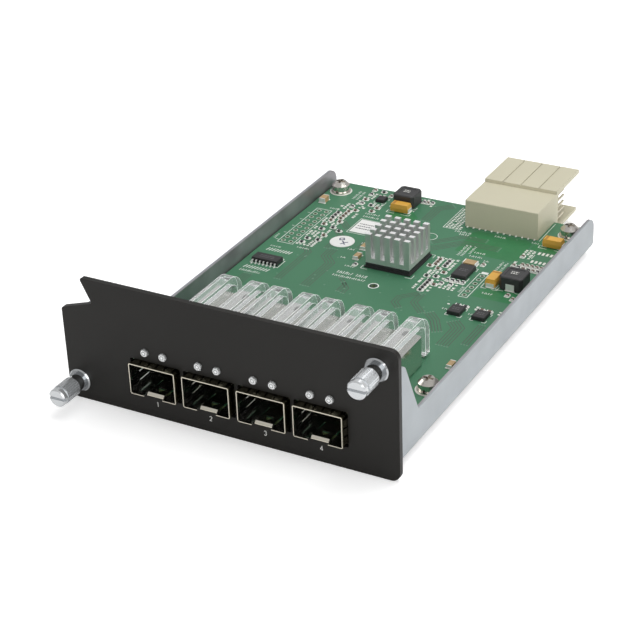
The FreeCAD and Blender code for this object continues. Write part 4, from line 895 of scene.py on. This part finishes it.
def clear_of_parts(places, reach=0.9):
    """The places that no fitted part covers."""
    boxes = [solids_of(node) for node in ("chip_resistors", "chip_capacitors", "ceramic_capacitors",
                                          "part_terminals")]
    boxes += [np.array(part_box(node))[:, None] for node in (
        *(part[0] for part in outlined), "heatsink", "backplane_plug", "board_sticker")]
    low, high = map(np.vstack, zip(*boxes))
    at = on_board(places)[:, None, :2]
    inside = (at > low[None, :, :2] - reach * mm) & (at < high[None, :, :2] + reach * mm)
    return places[~inside.all(-1).any(-1)]


fields = [field(*row) for row in (
        (4.6, 9.0, 122.4, 136.4, 1.1, 1.1, 0.95), (9.8, 17.6, 95.2, 103.0, 1.25, 1.05, 0.85),
        (12.6, 17.2, 82.0, 94.6, 1.15, 1.0, 0.9), (18.2, 24.4, 85.2, 91.4, 1.3, 1.05, 0.8),
        (-28.0, -19.4, 124.2, 137.0, 1.3, 1.1, 0.75), (-31.6, -24.4, 116.0, 124.4, 1.4, 1.2, 0.7),
        (-31.8, -26.6, 93.2, 117.4, 1.25, 1.05, 0.90), (33.0, 42.0, 104.2, 109.2, 1.2, 1.15, 0.75),
        (33.2, 35.6, 112.6, 117.4, 1.2, 1.2, 0.9), (-9.6, -5.8, 133.2, 137.2, 1.2, 1.2, 0.8),
        (26.0, 42.0, 77.4, 78.8, 1.4, 1.3, 0.5))]
spots = clear_of_parts(np.vstack(fields))
bare_height = 0.08 * mm
tinned("bare_pads", pillows(on_board(spots), np.tile([0.78 * mm, 0.62 * mm, bare_height], (len(spots), 1)),
                            around=8, square=0.3))
rows = [(37.25 + i * 1.27, y) for i in range(4) for y in (111.3, 117.0)]
rows += [(x, y) for x in (33.4, 35.4) for y in (101.2, 103.4)]
tinned("row_pads", pillows(on_board(rows), np.tile([0.75 * mm, 1.7 * mm, bare_height], (len(rows), 1)),
                           around=8, square=0.2))
print("bare pads", len(spots) + len(rows))

# %% [markdown]
# Beside every small part stand two short bars of ink, and over every second empty place one, except next
# to the connector. The parts' names are drawn as rows of ticks of several heights, some of them turned to
# run along y, and as slanted ticks before and behind the logic chip.

# %% Bars and ticks
bodies_low, bodies_high = map(np.vstack, zip(solids_of("chip_resistors"), solids_of("chip_capacitors")))
centres = (bodies_low + bodies_high) / 2
spans = bodies_high - bodies_low
bars = []
bar_half, bar_offset = 0.75 * mm, 0.72 * mm
for centre, span in zip(centres, spans):
    along_x = span[0] > span[1]
    run = bar_half * np.array([along_x, not along_x, 0])
    side = bar_offset * np.array([not along_x, along_x, 0])
    centre = np.array([centre[0], centre[1], top])
    bars += [[centre + side - run, centre + side + run], [centre - side - run, centre - side + run]]
spaced = spots[(spots[:, 0] < 4) | (spots[:, 0] > 9.4) | (spots[:, 1] < 122)][::2]
bars += [on_board([(x - 0.55, y + 0.55), (x + 0.55, y + 0.55)]) for x, y in spaced]
bars += [on_board([(36.4, 112.8), (36.4, 115.6)]), on_board([(41.9, 112.8), (41.9, 115.6)])]
inked("place_bars", bars)


def ticks(x, y, count, height=1.0, pitch=0.62, along_y=False):
    """A row of upright ticks that stands for a printed name. Every third one leans towards its neighbour,
    and every fourth is shorter. A row along y is the same row after a quarter turn."""
    paths = []
    for i in range(count):
        lean = 0.3 if i % 3 == 1 else 0.0
        a = (x + i * pitch, y)
        b = (x + i * pitch + lean, y + height * (0.7 if i % 4 == 2 else 1.0))
        if along_y:
            a, b = (x - (a[1] - y), y + i * pitch), (x - (b[1] - y), y + i * pitch + lean)
        paths.append(on_board([a, b]))
    return paths


names = []
for x, y, count, height in (
        (-11.8, 81.3, 8, 1.5), (-5.6, 81.3, 6, 1.5), (-12.2, 79.3, 17, 1.0), (-38.8, 70.8, 11, 1.2),
        (-38.2, 88.4, 6, 0.7), (-22.0, 117.9, 9, 1.0), (-22.3, 120.0, 8, 0.9), (-13.8, 101.0, 2, 0.9),
        (-15.9, 96.0, 4, 0.8), (-15.3, 90.3, 3, 0.8), (8.3, 120.2, 9, 1.0), (10.4, 118.8, 5, 1.1),
        (20.8, 121.8, 6, 0.9), (19.2, 106.8, 7, 0.9), (19.6, 109.4, 6, 0.9), (25.6, 74.0, 3, 0.8),
        (33.6, 74.0, 3, 0.8), (32.6, 122.4, 4, 0.8), (32.0, 87.0, 5, 1.0), (-30.4, 90.7, 7, 0.8),
        (-34.2, 119.0, 5, 0.8), (-11.6, 85.9, 5, 0.8), (24.4, 105.4, 3, 0.9)):
    names += ticks(x, y, count, height)
for x, y, count in (
        (-29.2, 128.4, 10), (-30.6, 128.4, 10), (17.2, 106.3, 12), (18.8, 108.6, 8), (16.0, 106.3, 12),
        (30.2, 100.8, 11), (31.6, 100.8, 11), (-39.6, 94.0, 5), (26.0, 85.2, 6)):
    names += ticks(x, y, count, 0.8, along_y=True)
inked("printed_names", names)
slant_pitch, slant_lean, slant_height = 0.95, 0.55, 1.7
slants = [on_board([(x + i * slant_pitch, y), (x + slant_lean + i * slant_pitch, y + slant_height)])
          for x, y in ((-38.8, 73.0), (-38.2, 85.6)) for i in range(9)]
inked("logic_chip_slants", slants, 0.30 * mm)
print("bars", len(bars), "ticks", len(names) + len(slants))

# %% [markdown]
# ## Copper tracks and vias
# The tracks lie under the lacquer, where they show as faint lines that run in bundles, straight or aslant.
# A bundle is one route, drawn several times, each a little further to the side. Small vias stand at their
# ends and here and there between.

# %% Tracks
def bundle(route, count, pitch=0.85):
    """Copies of a route of two-dimensional points, each moved sideways by the pitch."""
    route = np.asarray(route, float)
    mean, after = bends(route)
    side = np.column_stack([-mean[:, 1], mean[:, 0]]) / (mean * after).sum(1, keepdims=True)
    return [route + side * pitch * i for i in range(count)]


routes = []
for route, count in (
        (((-15.2, 70.0), (-15.2, 86.5), (-18.6, 89.9), (-18.6, 94.5)), 4),
        (((-25.0, 70.5), (-25.0, 90.0), (-27.4, 92.4), (-27.4, 99.0)), 3),
        (((-5.8, 71.0), (-5.8, 76.0), (-9.0, 79.2)), 2),
        (((-4.0, 70.5), (-4.0, 74.0), (-7.0, 77.0)), 2),
        (((14.8, 70.0), (12.4, 72.4), (12.4, 75.0), (16.6, 79.2)), 3),
        (((6.0, 104.5), (14.5, 113.0), (25.5, 113.0)), 4),
        (((5.5, 110.0), (12.5, 117.0), (20.0, 117.0)), 3),
        (((36.0, 55.0), (36.0, 66.5), (32.5, 70.0)), 5),
        (((40.5, 58.0), (40.5, 70.0)), 3),
        (((31.0, 62.0), (27.5, 68.0), (24.0, 71.5)), 4),
        (((-26.5, 106.5), (-22.8, 102.8), (-22.8, 94.0)), 3),
        (((-27.0, 112.0), (-22.5, 107.5)), 3),
        (((-12.0, 104.5), (-13.8, 102.7), (-13.8, 97.5)), 2),
        (((22.0, 70.0), (17.5, 74.5), (17.5, 80.0)), 3),
        (((-34.0, 58.0), (-34.0, 70.0)), 4),
        (((-2.0, 123.0), (-2.0, 132.0), (1.5, 135.5)), 4)):
    routes += bundle(route, count)
new_piece("tracks", *strokes([on_board(route) for route in routes], 0.30 * mm, 0.008 * mm),
          "board_laminate", "track_green")
ends = clear_of_parts(np.array([route[0] for route in routes] + [route[-1] for route in routes]), 0.5)
more = clear_of_parts(np.column_stack([chance.uniform(-38, 41, 90), chance.uniform(68, 136, 90)]), 1.0)
new_piece("vias", *rings(on_board(np.vstack([ends, more])), 0.12 * mm, 0.30 * mm, 0.012 * mm, sides=8),
          "tin_terminal", "via_green")
print("tracks", len(routes), "vias", len(ends) + len(more))

# %% [markdown]
# Wide stretches without copper look darker and greener. Each is a flat plate of that colour, thinner than
# the ink.

# %% Stretches without copper
plate_height = 0.004 * mm
bare = [[(13.5, 108.6), (31.5, 108.6), (33.0, 110.2), (33.0, 122.2), (30.5, 123.4), (15.0, 123.4),
         (13.5, 121.8)],
        [(-15.6, 121.2), (-6.0, 121.2), (-6.0, 124.0), (-9.5, 127.6), (-15.6, 127.6)],
        [(29.8, 84.4), (41.8, 84.4), (41.8, 91.2), (32.6, 91.2), (29.8, 88.6)],
        [(33.6, 118.4), (42.0, 118.4), (42.0, 124.0), (33.6, 124.0)]]
plates = joined((np.vstack([low, low + [0, 0, plate_height]]), capped(2, len(low)))
                for low in map(on_board, bare))
new_piece("bare_stretches", *plates, "board_laminate", "bare_green")
print("stretches", len(bare))

# %% [markdown]
# ## Labels and marks
# The paper label carries three lines of print, the round one a stamp, and the inductors and four of the
# chips a mark. All are left as plain bars and strokes, with no words, in the places where the print would
# be.

# %% Marks on the labels and parts
def bars_on(node, rows, row_height, step, share=0.8, seed=3):
    """Rows of short bars about the middle of a node's top face, of random lengths, in place of print."""
    low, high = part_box(node)
    draw = np.random.default_rng(seed)
    width = (high.x - low.x) * share
    paths = []
    for row in range(rows):
        y = (low.y + high.y) / 2 + ((rows - 1) / 2 - row) * step
        x = low.x + (high.x - low.x - width) / 2
        stop = x + width
        while x < stop:
            length = draw.uniform(0.25, 0.7) * mm
            paths.append([(x, y, high.z), (min(x + length, stop), y, high.z)])
            x += length + 0.22 * mm
    return strokes(paths, row_height, ink)


new_piece("label_print", *bars_on("board_label", 3, 0.6 * mm, 1.5 * mm), "chip_mould", "mark_grey")
low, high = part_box("board_sticker")
centre = Vector(((low.x + high.x) / 2, (low.y + high.y) / 2, high.z))
stamp = [np.array([(-1.6, 1.7), (-1.1, 0.6), (0.1, 1.2), (-0.5, 2.2), (-1.6, 1.7)]),
         np.array([(-0.2, 0.4), (0.9, -0.6), (1.9, 0.2)]), np.array([(0.3, -1.9), (0.8, -0.9), (1.7, -1.6)])]
paths = [np.column_stack([centre.x + line[:, 0] * mm, centre.y + line[:, 1] * mm,
                          np.full(len(line), centre.z)]) for line in stamp]
new_piece("sticker_stamp", *strokes(paths, 0.42 * mm, ink), "chip_mould", "stamp_blue")
for number in (1, 2):
    mark = bars_on(f"inductor_{number}", 2, 0.55 * mm, 0.95 * mm, share=0.30, seed=number)
    new_piece(f"inductor_mark_{number}", *mark, "chip_mould", "inductor_mark")
marked_chips = ("controller_chip", "driver_chip_1", "driver_chip_2", "logic_chip")
for node in marked_chips:
    mark = bars_on(node, 2, 0.35 * mm, 0.9 * mm, share=0.55, seed=9)
    new_piece(node + "_mark", *mark, "chip_mould", "chip_mark")
print("strokes in the stamp", len(stamp), "marked chips", len(marked_chips))

# %% [markdown]
# A tantalum capacitor has a dark stripe across its top, at its positive end. The stripe runs across the
# block, a little short of its sides, and is sized from the block itself.

# %% Stripes on the tantalum capacitors
inset, from_end, stripe = 0.28 * mm, 1.0 * mm, 0.75 * mm
for number in (1, 2, 3):
    low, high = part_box(f"tantalum_capacitor_{number}")
    if high.x - low.x > high.y - low.y:
        ends_at = [(low.x + from_end, low.y + inset, high.z), (low.x + from_end, high.y - inset, high.z)]
    else:
        ends_at = [(low.x + inset, high.y - from_end, high.z), (high.x - inset, high.y - from_end, high.z)]
    new_piece(f"polarity_stripe_{number}", *strokes([ends_at], stripe, ink),
              "tantalum_mould", "stripe_brown")
    print("stripe", number, "length", round((Vector(ends_at[1]) - Vector(ends_at[0])).length / mm, 2), "mm")

# %% [markdown]
# ## Light tips
# The front end of each light pipe is frosted, so that it glows evenly, and a grey ring on it is painted
# shade. Both are flat rings on the tip's face, and the frosted one is nearly a full disc.

# %% Rings on the light tips
def ring_facing_front(centre, inner, outer, height, sides=20):
    """The flat ring again, turned so that its flat side looks to the front: y takes the place of z."""
    points, faces = rings([(0, 0, 0)], inner, outer, height, sides)
    return points[:, [0, 2, 1]] * [1, -1, 1] + np.asarray(centre), faces


for number in (1, 2, 3, 4):
    points = joined_mesh(f"light_pipe_{number}")[0]
    tip = points[points[:, 1] < points[:, 1].min() + 0.01 * mm]
    middle_x = (tip[:, 0].min() + tip[:, 0].max()) / 2
    for side, group in (("left", tip[tip[:, 0] < middle_x]), ("right", tip[tip[:, 0] > middle_x])):
        centre = (group.min(0) + group.max(0)) / 2
        new_piece(f"tip_frost_{number}_{side}", *ring_facing_front(centre, 0.02 * mm, 0.84 * mm, 0.01 * mm),
                  "light_pipe_clear", "tip_frost")
        # Painted shade: a grey ring on each tip.
        new_piece(f"tip_shade_ring_{number}_{side}", *ring_facing_front(centre, 0.42 * mm, 0.60 * mm, 0.02 * mm),
                  "light_pipe_clear", "tip_grey")
    print("light pipe", number, "tips about x", round(middle_x / mm, 2), "mm")
